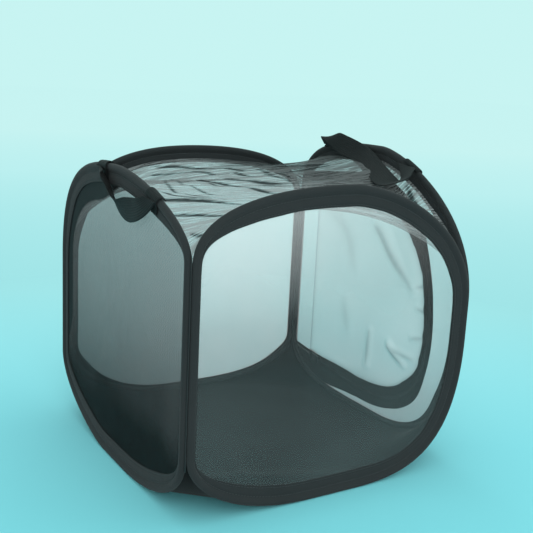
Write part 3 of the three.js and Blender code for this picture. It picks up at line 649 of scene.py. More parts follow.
def nearest(outline, points, closed=True, batch=4000):
    """Distance from each point to a line of points."""
    a = outline if closed else outline[:-1]
    run = (np.roll(outline, -1, 0) if closed else outline[1:]) - a
    best = np.full(len(points), np.inf)
    for first in range(0, len(points), batch):
        p = points[first:first + batch, None]
        share = ((p - a) * run).sum(2) / np.maximum((run ** 2).sum(1), 1e-12)
        gap = p - a - np.clip(share, 0, 1)[..., None] * run
        best[first:first + batch] = np.sqrt((gap ** 2).sum(2).min(1))
    return best


DOTS_CLEAR, WELDED = 0.55, 1e-4  # how far dots stay from an outline in spacings, and what counts as one point


def filled(outline, spacing, holes):
    """Points and triangles that fill a flat outline, with a regular net of points inside."""
    low, high = outline.min(0), outline.max(0)
    rows = np.arange(low[1], high[1], spacing * math.sqrt(3) / 2)
    dots = np.array([(x + (k % 2) * spacing / 2, y) for k, y in enumerate(rows)
                     for x in np.arange(low[0], high[0], spacing)])
    clear = DOTS_CLEAR * spacing
    keep = inside(outline, dots) & (nearest(outline, dots) > clear)
    for hole in holes:
        keep &= ~inside(hole, dots) & (nearest(hole, dots) > clear)
    points, edges = [], []
    for ring in (outline, *holes):
        first = len(points)
        points += [Vector(p) for p in ring]
        edges += [(first + k, first + (k + 1) % len(ring)) for k in range(len(ring))]
    points += [Vector(p) for p in dots[keep]]
    found, _, faces, *_ = delaunay_2d_cdt(points, edges, [], 0, WELDED)
    flat = np.array([tuple(p) for p in found])
    faces = np.array([f for f in faces if len(f) == 3])
    middles = flat[faces].mean(1)
    good = inside(outline, middles)
    for hole in holes:
        good &= ~inside(hole, middles)
    return flat, faces[good]


def catmull(points, shares):
    """Points on a centripetal Catmull-Rom curve, with shares from 0 to 1 spread evenly over its spans."""
    points = [np.array(p, float) for p in points]
    ends = [2 * points[0] - points[1]] + points + [2 * points[-1] - points[-2]]
    spans = len(points) - 1
    result = []
    for share in shares:
        k = min(int(share * spans), spans - 1)
        w = share * spans - k
        p0, p1, p2, p3 = ends[k:k + 4]
        d0, d1, d2 = (max(np.linalg.norm(b - a) ** 0.5, 1e-4) for a, b in ((p0, p1), (p1, p2), (p2, p3)))
        t1 = ((p1 - p0) / d0 - (p2 - p0) / (d0 + d1) + (p2 - p1) / d1) * d1
        t2 = ((p2 - p1) / d1 - (p3 - p1) / (d1 + d2) + (p3 - p2) / d2) * d1
        a, b = 2 * p1 - 2 * p2 + t1 + t2, -3 * p1 + 3 * p2 - 2 * t1 - t2
        result.append(a * w ** 3 + b * w ** 2 + t1 * w + p1)
    return np.array(result)


ROUTE_SAMPLES = 40
ROUTE_FADE = (0.08, 0.95)  # the part of a half wave by which a fold comes up and fades along its route
SLIM_SHARE = 0.55  # a fold's width where it has faded


def fold_shade(points, routes):
    """The shade of folds along smooth lines, each fading out towards both its ends."""
    shade = np.zeros(len(points))
    shares = np.linspace(0, 1, ROUTE_SAMPLES)
    for route, dark, width in routes:
        apart = np.linalg.norm(points[:, None] - catmull(route, shares)[None], axis=2)
        fade = np.sqrt(np.sin(math.pi * mix(*ROUTE_FADE, shares)))[apart.argmin(1)]
        wide = width * mix(SLIM_SHARE, 1, fade)
        shade = np.maximum(shade, dark * fade * np.exp(-(apart.min(1) / wide) ** 2))
    return shade


def crease(points, route, height, width):
    """A soft ridge along a route."""
    gap = nearest(np.array(route, float), points, closed=False)
    return height * np.exp(-(gap / width) ** 2)


def thickened(hoop, flat, faces, offset, thickness):
    """Both faces of a sheet and the wall round its edge."""
    count = len(flat)
    points = np.concatenate([hoop.lift(flat, offset + away) for away in (-thickness / 2, thickness / 2)])
    edges = {pair: True for a, b, c in faces for pair in ((a, b), (b, c), (c, a))}
    walls = [[a, b, b + count, a + count] for a, b in edges if (b, a) not in edges]
    return points, [f[::-1] for f in faces.tolist()] + (faces + count).tolist() + walls


def panel(name, side, outline, material, deep, node, body=None, holes=(), spacing=3.0,
          thickness=0.0, folds=None):
    """A sheet in a hoop's plane, moved in and out by a function of its flat places."""
    flat, faces = filled(outline, spacing, holes)
    hoop = hoops[side]
    if thickness:
        points, all_faces = thickened(hoop, flat, faces, deep(flat), thickness)
    else:
        points, all_faces = hoop.lift(flat, deep(flat)), faces.tolist()
    uv = flat[np.concatenate([np.array(f) for f in all_faces]) % len(flat)]
    cloth = piece(name, points, all_faces, uv, material, folds(flat) if folds else None)
    belong(cloth, body or f"{side}_frame", node)
    area = area_of(np.pad(flat, ((0, 0), (0, 1))), faces)


def panel_outline(side):
    hoop = hoops[side]
    return hoop.flat(hoop.s[::2], TAPE_WIDTH - SLOT_DEPTH)


SLACK_WAVES = 7
SLACK_EDGE = (8, 50)  # how far in from its edge a sheet's waves begin, and the run on which they grow


def slack(outline, size, waves, seed):
    """Shallow waves of a stretched sheet, still at its edge."""
    random = np.random.default_rng(seed)
    turns = [(random.uniform(-1, 1), random.uniform(-1, 1), random.uniform(0, 6.3)) for _ in range(SLACK_WAVES)]

    def deep(p):
        value = sum(np.sin((a * p[:, 0] + b * p[:, 1]) * waves + c) for a, b, c in turns) / 3
        return size * after(nearest(outline, p), *SLACK_EDGE) * value
    return deep


# A darker band painted on the left net: its width, how much wider it grows up high, and its strength
DARK_BAND_WIDTH, DARK_BAND_WIDER, DARK_BAND_STRENGTH = 18, 9, 0.9
DARK_BAND_RISE, DARK_BAND_CROWN, DARK_BAND_END = (60, 60), (190, 50), (40, -90)  # where it begins, widens and ends, and its run


def left_dark_band(p):
    """A darker band painted on the left net, along its back run and the run above that."""
    wide = DARK_BAND_WIDTH + DARK_BAND_WIDER * after(p[:, 1], *DARK_BAND_CROWN)
    wide = wide * after(p[:, 0], *DARK_BAND_END) * after(p[:, 1], *DARK_BAND_RISE)
    return DARK_BAND_STRENGTH * smooth((wide - nearest(panel_outline("left"), p)) / 4 + 0.5) * (wide > 1)


for side, material, seed, folds in (("left", SHADED_LEFT_NET, 3, left_dark_band), ("back", LIT_BACK_NET, 4, None)):
    rim = panel_outline(side)
    panel(f"{side}_net", side, rim, material, slack(rim, 0.9, 0.05, seed), f"{side}_mesh", folds=folds)

window_rim = panel_outline("front")
panel("window_sheet", "front", window_rim, CLEAR, slack(window_rim, 0.7, 0.06, 5), "window_panel",
      thickness=0.4)


# Zip door

HINGE_ALONG = 110
HINGE_FOOT, HINGE_CROWN = 36, 250
ZIP_FOOT, ZIP_CROWN = 25.5, 260
ZIP_SIDE, ZIP_WAIST = 97, 115
ZIP_START, ZIP_BEND, ZIP_DIP = 20, 70, 2
ZIP_RISE = (75, 82)
COIL_INNER, COIL_WIDTH, COIL_HALF = 0.6, 2.2, 1.1
COIL_OUTER = COIL_INNER + COIL_WIDTH
COIL_PITCH, COIL_STEPS, COIL_THICK = 1.9, 9, 0.41
COIL_REACH = (COIL_OUTER - 2 * COIL_THICK - 0.12) / 2  # how far the filament's middle swings from COIL_MIDDLE
COIL_MIDDLE = COIL_REACH + 0.1
ZIP_TAPE_HALF = 0.35
ZIP_TAPE_WIDE, ZIP_TAPE_SIDE = 9.5, 4
FOOT_TAPE_EXTRA, FOOT_TAPE_RUN = 16, 105  # how much wider the frame's tape is at its foot, over what run
FOOT_STUB, CROWN_STUB, STUB_GAP = 22, 10, 0.5
STOP_LENGTH = 4
ZIP_ONWARD = 40  # how far the line of the zip can be read past the hinge
TAPE_ONWARD = 33  # how far both tapes run on past it, into the sleeve
TAPE_INSIDE = 5  # how far inside the hoop's outer edge the tapes stay
TAPE_SPACING, TAPE_TRIES, TAPE_LEAST = 3, 25, 0.3
EDGE_SAMPLES = 220
# The tape's section outwards: how far from the zip's middle, the share of the width, and of the thickness
TAPE_SECTION = np.array([
    (0.15, 0, 0.3), (0.3, 0, 0.6), (COIL_OUTER, 0, 0.6), (COIL_OUTER, 0.1, 1), (COIL_OUTER, 0.3, 1),
    (COIL_OUTER, 0.6, 1), (COIL_OUTER, 0.9, 1), (COIL_OUTER, 1, 0.5)])
STOP_SECTION = np.array([
    (-1, -0.7), (-0.8, -1), (0.8, -1), (1, -0.7), (1, 0.7), (0.8, 1), (-0.8, 1), (-1, 0.7)])
STOP_HALF = (COIL_INNER + COIL_WIDTH / 2, 1.5)


class ZipLine:
    """The middle of the zip by length along it, from the hinge line below round the front to that above."""

    STEPS = 80

    def __init__(self):
        bend = ZIP_START - ZIP_BEND
        down, up = ZIP_RISE
        points = np.concatenate([
            line((HINGE_ALONG, HINGE_FOOT), (ZIP_START, ZIP_FOOT), self.STEPS),
            bezier((ZIP_START, ZIP_FOOT), (bend, ZIP_FOOT - ZIP_DIP), (-ZIP_SIDE, ZIP_WAIST - down),
                   (-ZIP_SIDE, ZIP_WAIST), self.STEPS),
            bezier((-ZIP_SIDE, ZIP_WAIST), (-ZIP_SIDE, ZIP_WAIST + up), (bend - 10, ZIP_CROWN + ZIP_DIP),
                   (ZIP_START, ZIP_CROWN), self.STEPS),
            line((ZIP_START, ZIP_CROWN), (HINGE_ALONG, HINGE_CROWN), self.STEPS),
            [(HINGE_ALONG, HINGE_CROWN)],
        ])
        lengths = running(points)
        self.total = lengths[-1]
        ends = [points[0] + (points[0] - points[1]) * ZIP_ONWARD / lengths[1],
                points[-1] + (points[-1] - points[-2]) * ZIP_ONWARD / (lengths[-1] - lengths[-2])]
        self.points = np.concatenate([ends[:1], points, ends[1:]])
        self.lengths = np.concatenate([[-ZIP_ONWARD], lengths, [self.total + ZIP_ONWARD]])

    def at(self, s):
        return np.stack([np.interp(s, self.lengths, self.points[:, k]) for k in (0, 1)], -1)

    def read(self, s, step=1.5):
        """Places along the zip, and the way outwards from the door at each."""
        s = np.asarray(s, float)
        run = unit(self.at(s + step) - self.at(s - step))
        return self.at(s), np.stack([-run[..., 1], run[..., 0]], -1)

    def tape(self, s, outward, side):
        """Width of the frame's tape (side 1) or the door's (side -1), which is slimmer towards its foot."""
        width = mix(ZIP_TAPE_SIDE, ZIP_TAPE_WIDE, after(np.abs(outward[..., 1]), 0.25, 0.5))
        return width * mix(0.15, 1, smooth(s / FOOT_TAPE_RUN + 0.1)) if side < 0 else width

    def beside(self, s, away):
        at, outward = self.read(s)
        return at + np.asarray(away, float)[..., None] * outward

    def reaching(self, along, above):
        """Length at which the straight run below or above passes a place along the side."""
        rise = ZIP_CROWN - HINGE_CROWN if above else HINGE_FOOT - ZIP_FOOT
        run = np.linalg.norm(np.array([HINGE_ALONG - ZIP_START, rise]))
        part = run * (HINGE_ALONG - along) / (HINGE_ALONG - ZIP_START)
        return self.total - part if above else part


zip_line = ZipLine()
right = hoops["right"]


def tape_strip(name, first, last, side, body="right_frame", node=None):
    """One half's tape between two lengths along the zip. The door's waves a little along its free edge."""
    s = np.linspace(first, last, max(int((last - first) / TAPE_SPACING), 4))
    at, outward = zip_line.read(s)
    width = zip_line.tape(s, outward, side)
    if side > 0:
        width = width + FOOT_TAPE_EXTRA * (1 - smooth(s / FOOT_TAPE_RUN))
    tried = np.linspace(0, 1, TAPE_TRIES)  # shares of the width, of which the last inside the hoop is kept
    reach = at[:, None] + (side * tried[None] * (width + COIL_OUTER)[:, None])[..., None] * outward[:, None]
    within = inside(right.flat(right.s, TAPE_INSIDE), reach.reshape(-1, 2)).reshape(reach.shape[:2])
    free = np.where(within.all(1), 1, tried[np.maximum(within.argmin(1) - 1, 0)])
    width = np.maximum(np.minimum(width, free * (width + COIL_OUTER) - COIL_OUTER), TAPE_LEAST)
    if side < 0:
        width = width + (0.5 * np.sin(s / 4.1) + 0.35 * np.sin(s / 2.3)) * (1 - np.abs(outward[:, 1]))
    start, share, thick = np.concatenate([TAPE_SECTION * (1, 1, ZIP_TAPE_HALF),
                                          TAPE_SECTION[::-1] * (1, 1, -ZIP_TAPE_HALF)]).T
    away = side * (start[None] + share[None] * width[:, None])
    wave = 0.25 * np.sin(s / 9)[:, None] * share[None]
    flat = at[:, None] + away[..., None] * outward[:, None]
    belong(swept(name, right.lift(flat, thick[None] + wave), ZIP_TAPE), body, node)


def coil(name, first, last, side, body="right_frame"):
    """The spiral of one half's teeth: one filament wound round and round along the tape's edge."""
    begin = math.ceil(first / COIL_PITCH) * COIL_PITCH + (COIL_PITCH / 2 if side < 0 else 0)
    k = np.arange(int((last - begin) / COIL_PITCH) * COIL_STEPS)
    angle = math.tau * k / COIL_STEPS
    s = begin + COIL_PITCH * k / COIL_STEPS
    away = side * (COIL_MIDDLE + COIL_REACH * np.cos(angle))
    deep = (COIL_HALF - COIL_THICK) * np.sin(angle)
    centre = right.lift(zip_line.beside(s, away), deep)
    tangent = heading(centre)
    out = centre - right.lift(zip_line.beside(s, side * COIL_MIDDLE), 0 * deep)
    out = unit(out - (out * tangent).sum(1)[:, None] * tangent)
    belong(wound(name, centre, out, COIL_THICK, COIL), body)


def zip_stop(name, first, last):
    across, deep = (STOP_SECTION * STOP_HALF).T
    s = np.linspace(first, last, 6)[:, None]
    flat = zip_line.beside(s, across[None].repeat(len(s), 0))
    belong(swept(name, right.lift(flat, deep[None]), COIL), "right_frame")


def zip_halves():
    whole = zip_line.total
    leaf_first = zip_line.reaching(HINGE_ALONG - FOOT_STUB, False)
    leaf_last = zip_line.reaching(HINGE_ALONG - CROWN_STUB, True)
    foot_stub = zip_line.reaching(HINGE_ALONG - FOOT_STUB + STUB_GAP, False)
    crown_stub = zip_line.reaching(HINGE_ALONG - CROWN_STUB + STUB_GAP, True)
    tape_strip("zip_tape_frame_cloth", -TAPE_ONWARD, whole + TAPE_ONWARD, 1, node="zip_tape_frame")
    tape_strip("zip_tape_foot_end", -TAPE_ONWARD, foot_stub, -1)
    tape_strip("zip_tape_crown_end", crown_stub, whole + TAPE_ONWARD, -1)
    tape_strip("zip_tape_door_cloth", leaf_first, leaf_last, -1, "door", "zip_tape_door")
    coil("zip_coil_frame", STOP_LENGTH, whole - STOP_LENGTH, 1)
    coil("zip_coil_door", leaf_first, leaf_last, -1, "door")
    coil("zip_coil_foot_end", STOP_LENGTH, foot_stub, -1)
    coil("zip_coil_crown_end", crown_stub, whole - STOP_LENGTH, -1)
    zip_stop("zip_stop_foot", 0, STOP_LENGTH)
    zip_stop("zip_stop_crown", whole - STOP_LENGTH, whole)


zip_halves()


def zip_edge(side):
    """The line where the net meets the tape's outer or inner free edge, with its ends on the hinge line."""
    s = np.linspace(-ZIP_ONWARD / 4, zip_line.total + ZIP_ONWARD / 4, EDGE_SAMPLES)
    at, outward = zip_line.read(s)
    away = side * (COIL_OUTER + zip_line.tape(s, outward, side) - 1)
    edge = at + away[:, None] * outward
    ahead = np.flatnonzero(edge[:, 0] < HINGE_ALONG)
    ends = [mix(edge[a], edge[b], (HINGE_ALONG - edge[a, 0]) / (edge[b, 0] - edge[a, 0]))
            for a, b in ((ahead[0], ahead[0] - 1), (ahead[-1], ahead[-1] + 1))]
    return np.concatenate([ends[:1], edge[ahead], ends[1:]])


# Creases of the door's net, with painted shade along them: places in the hoop's plane, how deep as a share,
# which also sets how dark, and how wide in mm
DOOR_CREASES = (
    (((-2, 216), (-8, 212), (-29, 190), (-49, 175), (-70, 161)), 1.0, 4.5),
    (((-6, 98), (-4, 78), (-3, 58)), 0.7, 3.5),
    (((-40, 93), (-43, 88), (-50, 82), (-62, 76)), 0.9, 3.0),
    (((-42, 90), (-52, 87), (-77, 86)), 0.6, 3.0),
    (((87, 217), (62, 209), (41, 192), (30, 160)), 0.45, 9.0),
    (((46, 120), (38, 86)), 0.35, 7.0),
    (((-88, 168), (-76, 164)), 0.6, 2.5),
    (((-90, 140), (-78, 142)), 0.6, 2.5),
    (((-88, 112), (-74, 108)), 0.6, 2.5),
)
# The creases' depth and width in mm, and the strength of their painted shade.
CREASE_DEPTH, CREASE_WIDTH, CREASE_DARK = 3.2, 1.6, 0.26
DOOR_HOLLOW = (((-15, 232), (-35, 200), (-60, 170)), 2.4, 8)


def door_deep(p):
    """Creases of the door's loose net."""
    fade = after(nearest(door_rim, p), 2, 10) * after(p[:, 0], HINGE_ALONG, -25)
    value = sum(crease(p, route, CREASE_DEPTH * depth, CREASE_WIDTH * width)
                for route, depth, width in DOOR_CREASES)
    value -= crease(p, *DOOR_HOLLOW)
    return fade * (value + 1.2 * np.sin(p[:, 0] / 17 + p[:, 1] / 31) + 0.8 * np.sin(p[:, 1] / 13))


# Painted shade along the door's creases, and a darker band along its rim.
def door_painted_shade(p):
    shade = fold_shade(p, [(route, CREASE_DARK * depth, width) for route, depth, width in DOOR_CREASES])
    return shade + np.exp(-nearest(door_rim, p) / 3) * 0.25


frame_hole, door_rim, right_rim = zip_edge(1), zip_edge(-1), panel_outline("right")
panel("right_net", "right", right_rim, LIT_BACK_NET, slack(right_rim, 0.3, 0.08, 6), "right_mesh",
      holes=[frame_hole])
panel("door_net", "right", door_rim, LIT_DOOR_NET, door_deep, "door_mesh", body="door", folds=door_painted_shade,
      spacing=2.4)


# Roof and floor

CLOTH_THICKNESS = 0.6
CLOTH_ROUND = BULB_RADIUS + CLOTH_GAP
CELLS = 160
SETTLING, SMOOTHING = 400, 6  # steps that settle a cloth, and that then even it out from cell to cell
FOLD_COUNT, FOLD_DEPTH, FOLD_BOW_SHARE = 7, 1.6, 0.33
FINE_DEPTH, CREASE_DIP, WRINKLE_RISE = 0.6, 0.8, 3.0
SEAM_SAMPLES = 600
COVER_RAMP, PRESS_RAMP = 1.6, 12  # how fast the cloths reach their full depth from a corner
FLOOR_SAG, FLOOR_CELLS = 1.1, 20  # the floor's sag at each step of its settling, on this many cells
FLOOR_PRESS = 0.7  # how far the floor's edge is stitched into the sleeve's cloth
COVER_STIFFNESS = (1 / 18 ** 2, 1 / 32 ** 2)  # along the roof's folds and across them
GORE_SIZE = (0.31, 0.175)


def cloth_seat(edge):
    height = CLOTH_ROUND ** 2 - (edge - BULB_RADIUS) ** 2
    return np.maximum(FLANGE_HALF + CLOTH_GAP, np.sqrt(np.maximum(height, 0)))


def corner_edge():
    across = BULB_RADIUS + CORNER_INSET
    return (BULB_RADIUS - CORNER_INSET + math.sqrt(2 * CLOTH_ROUND ** 2 - across ** 2)) / 2


def seam_line(side, over):
    """A hoop's seam for the roof or the floor, from its left corner to its right."""
    hoop = hoops[side]
    first, last = (hoop.marks[4], hoop.marks[2]) if over else (hoop.marks[5], hoop.marks[1] + hoop.total)
    s = np.linspace(first, last, SEAM_SAMPLES)
    span = np.minimum(np.abs(s - first), np.abs(s - last)) / (abs(last - first) / 2)
    edge = corner_edge()
    depth = mix(edge, COVER_SEAT, smooth(COVER_RAMP * span)) if over else np.full_like(s, edge)
    pressed = 0 if over else FLOOR_PRESS * smooth(PRESS_RAMP * span)
    points = hoop.place(s, depth, cloth_seat(depth) - pressed)
    lengths = running(points)
    wanted = np.linspace(0, lengths[-1], CELLS + 1)
    return np.stack([np.interp(wanted, lengths, points[:, k]) for k in range(3)], 1)


def stretched(over):
    """A cloth between the four seam lines, settled like a soap film. It is settled on coarse cells first."""
    lines = [seam_line(side, over) for side in SIDES]
    lowest = CLOTH_THICKNESS + CLOTH_GAP
    weights = COVER_STIFFNESS if over else (1, 1)
    across, along = (w / sum(weights) / 2 for w in weights)
    grid = None
    for cells in (CELLS // 8, CELLS // 4, CELLS // 2, CELLS):
        front, right_line, back, left = (edge[::CELLS // cells] for edge in lines)
        back, left = back[::-1], left[::-1]
        t = np.linspace(0, 1, cells + 1)[:, None, None]
        s = np.linspace(0, 1, cells + 1)[None, :, None]
        start = mix(left[:, None], right_line[:, None], s) + mix(front[None], back[None], t)
        start -= mix(mix(front[0], front[-1], s), mix(back[0], back[-1], s), t)
        if grid is not None:
            finer = np.empty_like(start)
            finer[::2, ::2] = grid
            finer[1::2, ::2] = (grid[:-1] + grid[1:]) / 2
            finer[:, 1::2] = (finer[:, :-1:2] + finer[:, 2::2]) / 2
            start[1:-1, 1:-1] = finer[1:-1, 1:-1]
        grid = start
        inner = grid[1:-1, 1:-1]
        sag = 0 if over else FLOOR_SAG * (FLOOR_CELLS / cells) ** 2
        for _ in range(SETTLING):
            inner[:] = (across * (grid[1:-1, :-2] + grid[1:-1, 2:])
                        + along * (grid[:-2, 1:-1] + grid[2:, 1:-1]))
            if not over:
                inner[..., 2] = np.maximum(inner[..., 2] - sag, lowest)
        for _ in range(SMOOTHING):
            around = (grid[1:-1, :-2] + grid[1:-1, 2:] + grid[:-2, 1:-1] + grid[2:, 1:-1]) / 4
            inner[:] = (inner + around) / 2
    return grid


def gores(name, grid, material, node, folds=None):
    """The cloth in four triangles that meet in the middle, one on each frame, so that it folds with them."""
    n = CELLS
    triangles = []
    for j in range(n):
        for i in range(n):
            a, d = j * (n + 1) + i, (j + 1) * (n + 1) + i
            b, c = a + 1, d + 1
            rising = (i < n / 2) == (j < n / 2)
            triangles += ((a, b, c), (a, c, d)) if rising else ((a, b, d), (b, c, d))
    triangles = np.array(triangles)
    s = np.arange(n + 1) / n
    place = np.stack([np.tile(s, n + 1), np.repeat(s, n + 1)], 1)
    x, y = place[triangles].mean(1).T
    flat = grid.reshape(-1, 3)
    normal = unit(np.cross(np.gradient(grid, axis=1), np.gradient(grid, axis=0))).reshape(-1, 3)
    if normal[:, 2].mean() < 0:
        normal = -normal
    quarter = np.argmin(np.stack([y, 1 - x, 1 - y, x], 1), 1)
    for k, side in enumerate(SIDES):
        used, back = np.unique(triangles[quarter == k], return_inverse=True)
        faces = back.reshape(-1, 3)
        uv = place[used][faces.ravel()] * CAGE_SPAN
        shade = None if folds is None else folds[used]
        cloth = piece(f"{name}_{side}", flat[used], faces.tolist(), uv, material, shade)
        cloth.data.normals_split_custom_set_from_vertices(normal[used].tolist())
        belong(cloth, f"{side}_frame", node)
        area = min(area_of(flat[used], faces), GORE_SIZE[0] * GORE_SIZE[1])
        hoops[side].foot_point(0)
        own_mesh(cloth)


# Creases of the roof, with painted shade along them where the net also lies double: places as shares across and
# along it, how dark, and how wide in mm
ROOF_CREASES = (
    (((0.0, 0.29), (0.05, 0.28), (0.15, 0.27), (0.27, 0.235)), 1.2, 2.2),
    (((0.0, 0.165), (0.08, 0.15), (0.16, 0.115)), 1.0, 2.0),
    (((0.02, 0.07), (0.06, 0.035)), 0.7, 1.8),
    (((0.29, 0.72), (0.31, 0.6), (0.41, 0.49), (0.6, 0.42)), 1.1, 2.6),
    (((0.37, 0.93), (0.47, 0.87), (0.55, 0.66), (0.62, 0.51)), 0.9, 2.6),
    (((0.41, 0.97), (0.5, 0.93), (0.62, 0.79), (0.64, 0.54)), 0.9, 2.6),
    (((0.08, 0.38), (0.11, 0.31), (0.2, 0.28)), 0.8, 1.8),
    (((0.22, 0.6), (0.14, 0.36), (0.24, 0.27)), 0.6, 1.8),
    (((0.29, 0.73), (0.23, 0.39), (0.29, 0.32)), 0.6, 1.8),
    (((0.34, 0.52), (0.42, 0.4), (0.5, 0.36)), 0.7, 2.2),
    (((0.36, 0.62), (0.5, 0.52), (0.64, 0.47)), 0.9, 2.6),
    (((0.62, 0.93), (0.79, 0.86), (1.0, 0.8)), 1.0, 2.4),
    (((0.7, 0.86), (0.8, 0.83), (0.95, 0.79)), 0.8, 2.2),
    (((0.68, 0.74), (0.74, 0.71), (0.9, 0.63)), 0.9, 2.4),
    (((0.62, 0.64), (0.7, 0.61), (0.84, 0.6)), 0.9, 2.4),
    (((0.98, 0.38), (0.96, 0.31), (0.97, 0.25)), 0.9, 1.8),
)
# Where the right strap lies on the roof, how deep it presses, and how widely
DENT_PLACE, DENT_DEPTH, DENT_REACH = (112, -58), 14, 32


def cell_shares():
    """Shares across and along a cloth, and how near each cell is to its middle."""
    s = np.linspace(0, 1, CELLS + 1)[None, :]
    t = np.linspace(0, 1, CELLS + 1)[:, None]
    return s, t, 16 * s * (1 - s) * t * (1 - t)


def roof():
    """Slack net in soft waves, with painted shade along its creases, where the net also lies double, and broad
    places of painted shade.
    """
    grid = stretched(True)
    s, t, middle = cell_shares()
    wave = np.sin(math.tau * (FOLD_COUNT * t + FOLD_BOW_SHARE * np.sin(math.pi * s)))
    fine = np.sin(math.tau * (17 * t + 1.3 * s + 0.4 * np.sin(5 * s))) * np.sin(2.2 * math.pi * s + 3 * t)
    flat = np.stack([(s + 0 * t).ravel(), (t + 0 * s).ravel()], 1) * CAGE_SPAN
    routes = [(np.array(route) * CAGE_SPAN, dark, width) for route, dark, width in ROOF_CREASES]
    folds = fold_shade(flat, routes)
    x, y = (flat / CAGE_SPAN).T
    # Broad painted shade, deeper towards the back and the back right, and taken off at the front right.
    broad_shade = 0.12 * after(y, 0.3, 0.3) + 0.18 * after(x, 0.5, 0.25) * after(y, 0.3, 0.2)
    broad_shade -= 0.5 * after(y, 0.14, -0.08) * after(x, 0.4, 0.2)
    rise = np.sqrt(middle) * (FOLD_DEPTH * wave + FINE_DEPTH * fine)
    grid[..., 2] += rise - smooth(8 * middle) * CREASE_DIP * np.minimum(folds, 1).reshape(grid.shape[:2])
    far = np.linalg.norm(grid[..., :2] - DENT_PLACE, axis=2)
    grid[..., 2] -= DENT_DEPTH * np.exp(-(far / DENT_REACH) ** 2) * smooth(6 * middle)
    gores("roof", grid, ROOF_NET, "top_cover", np.minimum(folds + broad_shade, 1.2))


def floor():
    """Black cloth that lies slack, with two long wrinkles."""
    grid = stretched(False)
    s, t, middle = cell_shares()
    wrinkle = np.exp(-((s - 0.2 - 0.35 * t) / 0.03) ** 2) * np.exp(-((t - 0.2) / 0.2) ** 2)
    wrinkle += 0.7 * np.exp(-((t - 0.35 + 0.5 * s) / 0.04) ** 2)
    grid[..., 2] += np.sqrt(middle) * WRINKLE_RISE * wrinkle
    gores("floor", grid, FLOOR_CLOTH, "floor_cloth")


roof()
floor()


# Corner seams

SEAM_SETBACK = 0.7
SEAM_PITCH, SEAM_STEPS, SEAM_THICK, SEAM_REACH = 2.2, 10, 0.32, 0.42
CORD_RADIUS, CORD_SIDES, CORD_ROWS, CORD_BELOW, CORD_ABOVE = 0.55, 10, 40, 10, 6
SEAM_BODIES = {"front_left": "front_frame", "front_right": "front_frame", "back_left": "left_frame",
               "back_right": "back_frame"}


def corner_seam(corner):
    """Overcast stitching that winds round the cord in the groove between two sleeves, and the cord."""
    top, foot = (share * CAGE_HEIGHT for share in CORNER_SHARES[corner])
    x = (1 if corner.endswith("right") else -1) * (CAGE_SPAN / 2 - SEAM_SETBACK)
    y = (1 if corner.startswith("back") else -1) * (CAGE_SPAN / 2 - SEAM_SETBACK)
    k = np.arange(int((top - foot) / SEAM_PITCH) * SEAM_STEPS)
    angle = math.tau * k / SEAM_STEPS
    centre = np.stack([x + SEAM_REACH * np.cos(angle), y + SEAM_REACH * np.sin(angle),
                       foot + SEAM_PITCH * k / SEAM_STEPS], 1)
    out = np.stack([np.cos(angle), np.sin(angle), 0 * angle], 1)
    belong(wound(f"corner_stitching_{corner}", centre, out, SEAM_THICK, SEAM_THREAD), SEAM_BODIES[corner],
           f"seam_{corner}")
    heights = np.linspace(foot - CORD_BELOW, top + CORD_ABOVE, CORD_ROWS)[:, None]
    around = math.tau * np.arange(CORD_SIDES) / CORD_SIDES
    core = np.stack([x + CORD_RADIUS * np.cos(around) + 0 * heights,
                     y + CORD_RADIUS * np.sin(around) + 0 * heights, heights + 0 * around], -1)
    belong(swept(f"corner_cord_{corner}", core, SEAM_THREAD), SEAM_BODIES[corner])


for corner in CORNER_SHARES:
    corner_seam(corner)


# Handles

STRAP_WIDTH, STRAP_THICKNESS, STRAP_GAP = 22, 1.2, 0.5
PATCH_REACH = 16
BULB_CORNER = BULB_RADIUS / math.cos(math.pi / 8)
PATCH_RADIUS = BULB_CORNER + STRAP_GAP + STRAP_THICKNESS / 2
PATCH_TURNS = (0.33, -0.18)  # from where to where a patch lies round the wire, in turns
PATCH_SAMPLES = (14, 7)  # round the wire, and across the strap
STRAP_SAMPLES = 110
SQUASH_DEEP, SQUASH_KEEP = 4.1, 0.04  # where the right strap lies flat on a folded cage, and how thick
# The strap's section: shares of its width, and its thickness at each
STRAP_SHARES = (0, 0.03, 0.1, 0.3, 0.5, 0.7, 0.9, 0.97, 1.0)
STRAP_SWELL = np.array([0.35, 0.85, 1, 0.93, 0.9, 0.93, 1, 0.85, 0.35])
# Each handle's way out from its hoop, its reach, its two patches as shares of half the span, the turn round
# the wire at which it leaves them, and its route. A place of the route is along from patch to patch, out and
# up, and then the way across the webbing in the same terms.
HANDLES = {
    "left": (-1, 44, (-0.2, 0.55), 0.28, (
        (0.07, 0.2, -0.08, 1, 0.4, 0), (0.19, 0.15, -0.28, 0.83, 0.5, 0.1),
        (0.29, 0.14, -0.45, 0.8, 0.5, 0.25), (0.41, 0.15, -0.55, 0.6, 0.4, 0.6),
        (0.6, 0.18, -0.51, 0, 0.2, 1), (0.79, 0.2, -0.38, -0.6, 0, 0.8),
        (0.93, 0.19, -0.2, -0.9, 0.1, 0.35))),
    "right": (1, 32, (0.6, -0.35), 0.2, (
        (0, 0.3, 0.3, 0.95, -0.1, 0), (0.09, 0.38, 0.4, 0.7, -0.2, 0.45), (0.24, 0.38, 0.24, 0.3, -0.3, 1),
        (0.5, 0.38, 0.06, 0.45, -0.45, 0.75), (0.78, 0.66, -0.26, 0.54, -0.76, 0.556),
        (1.04, 0.93, -0.44, 0.1, -0.9, 0.2), (1.11, 0.72, -0.24, -0.8, -0.4, -0.1))),
}


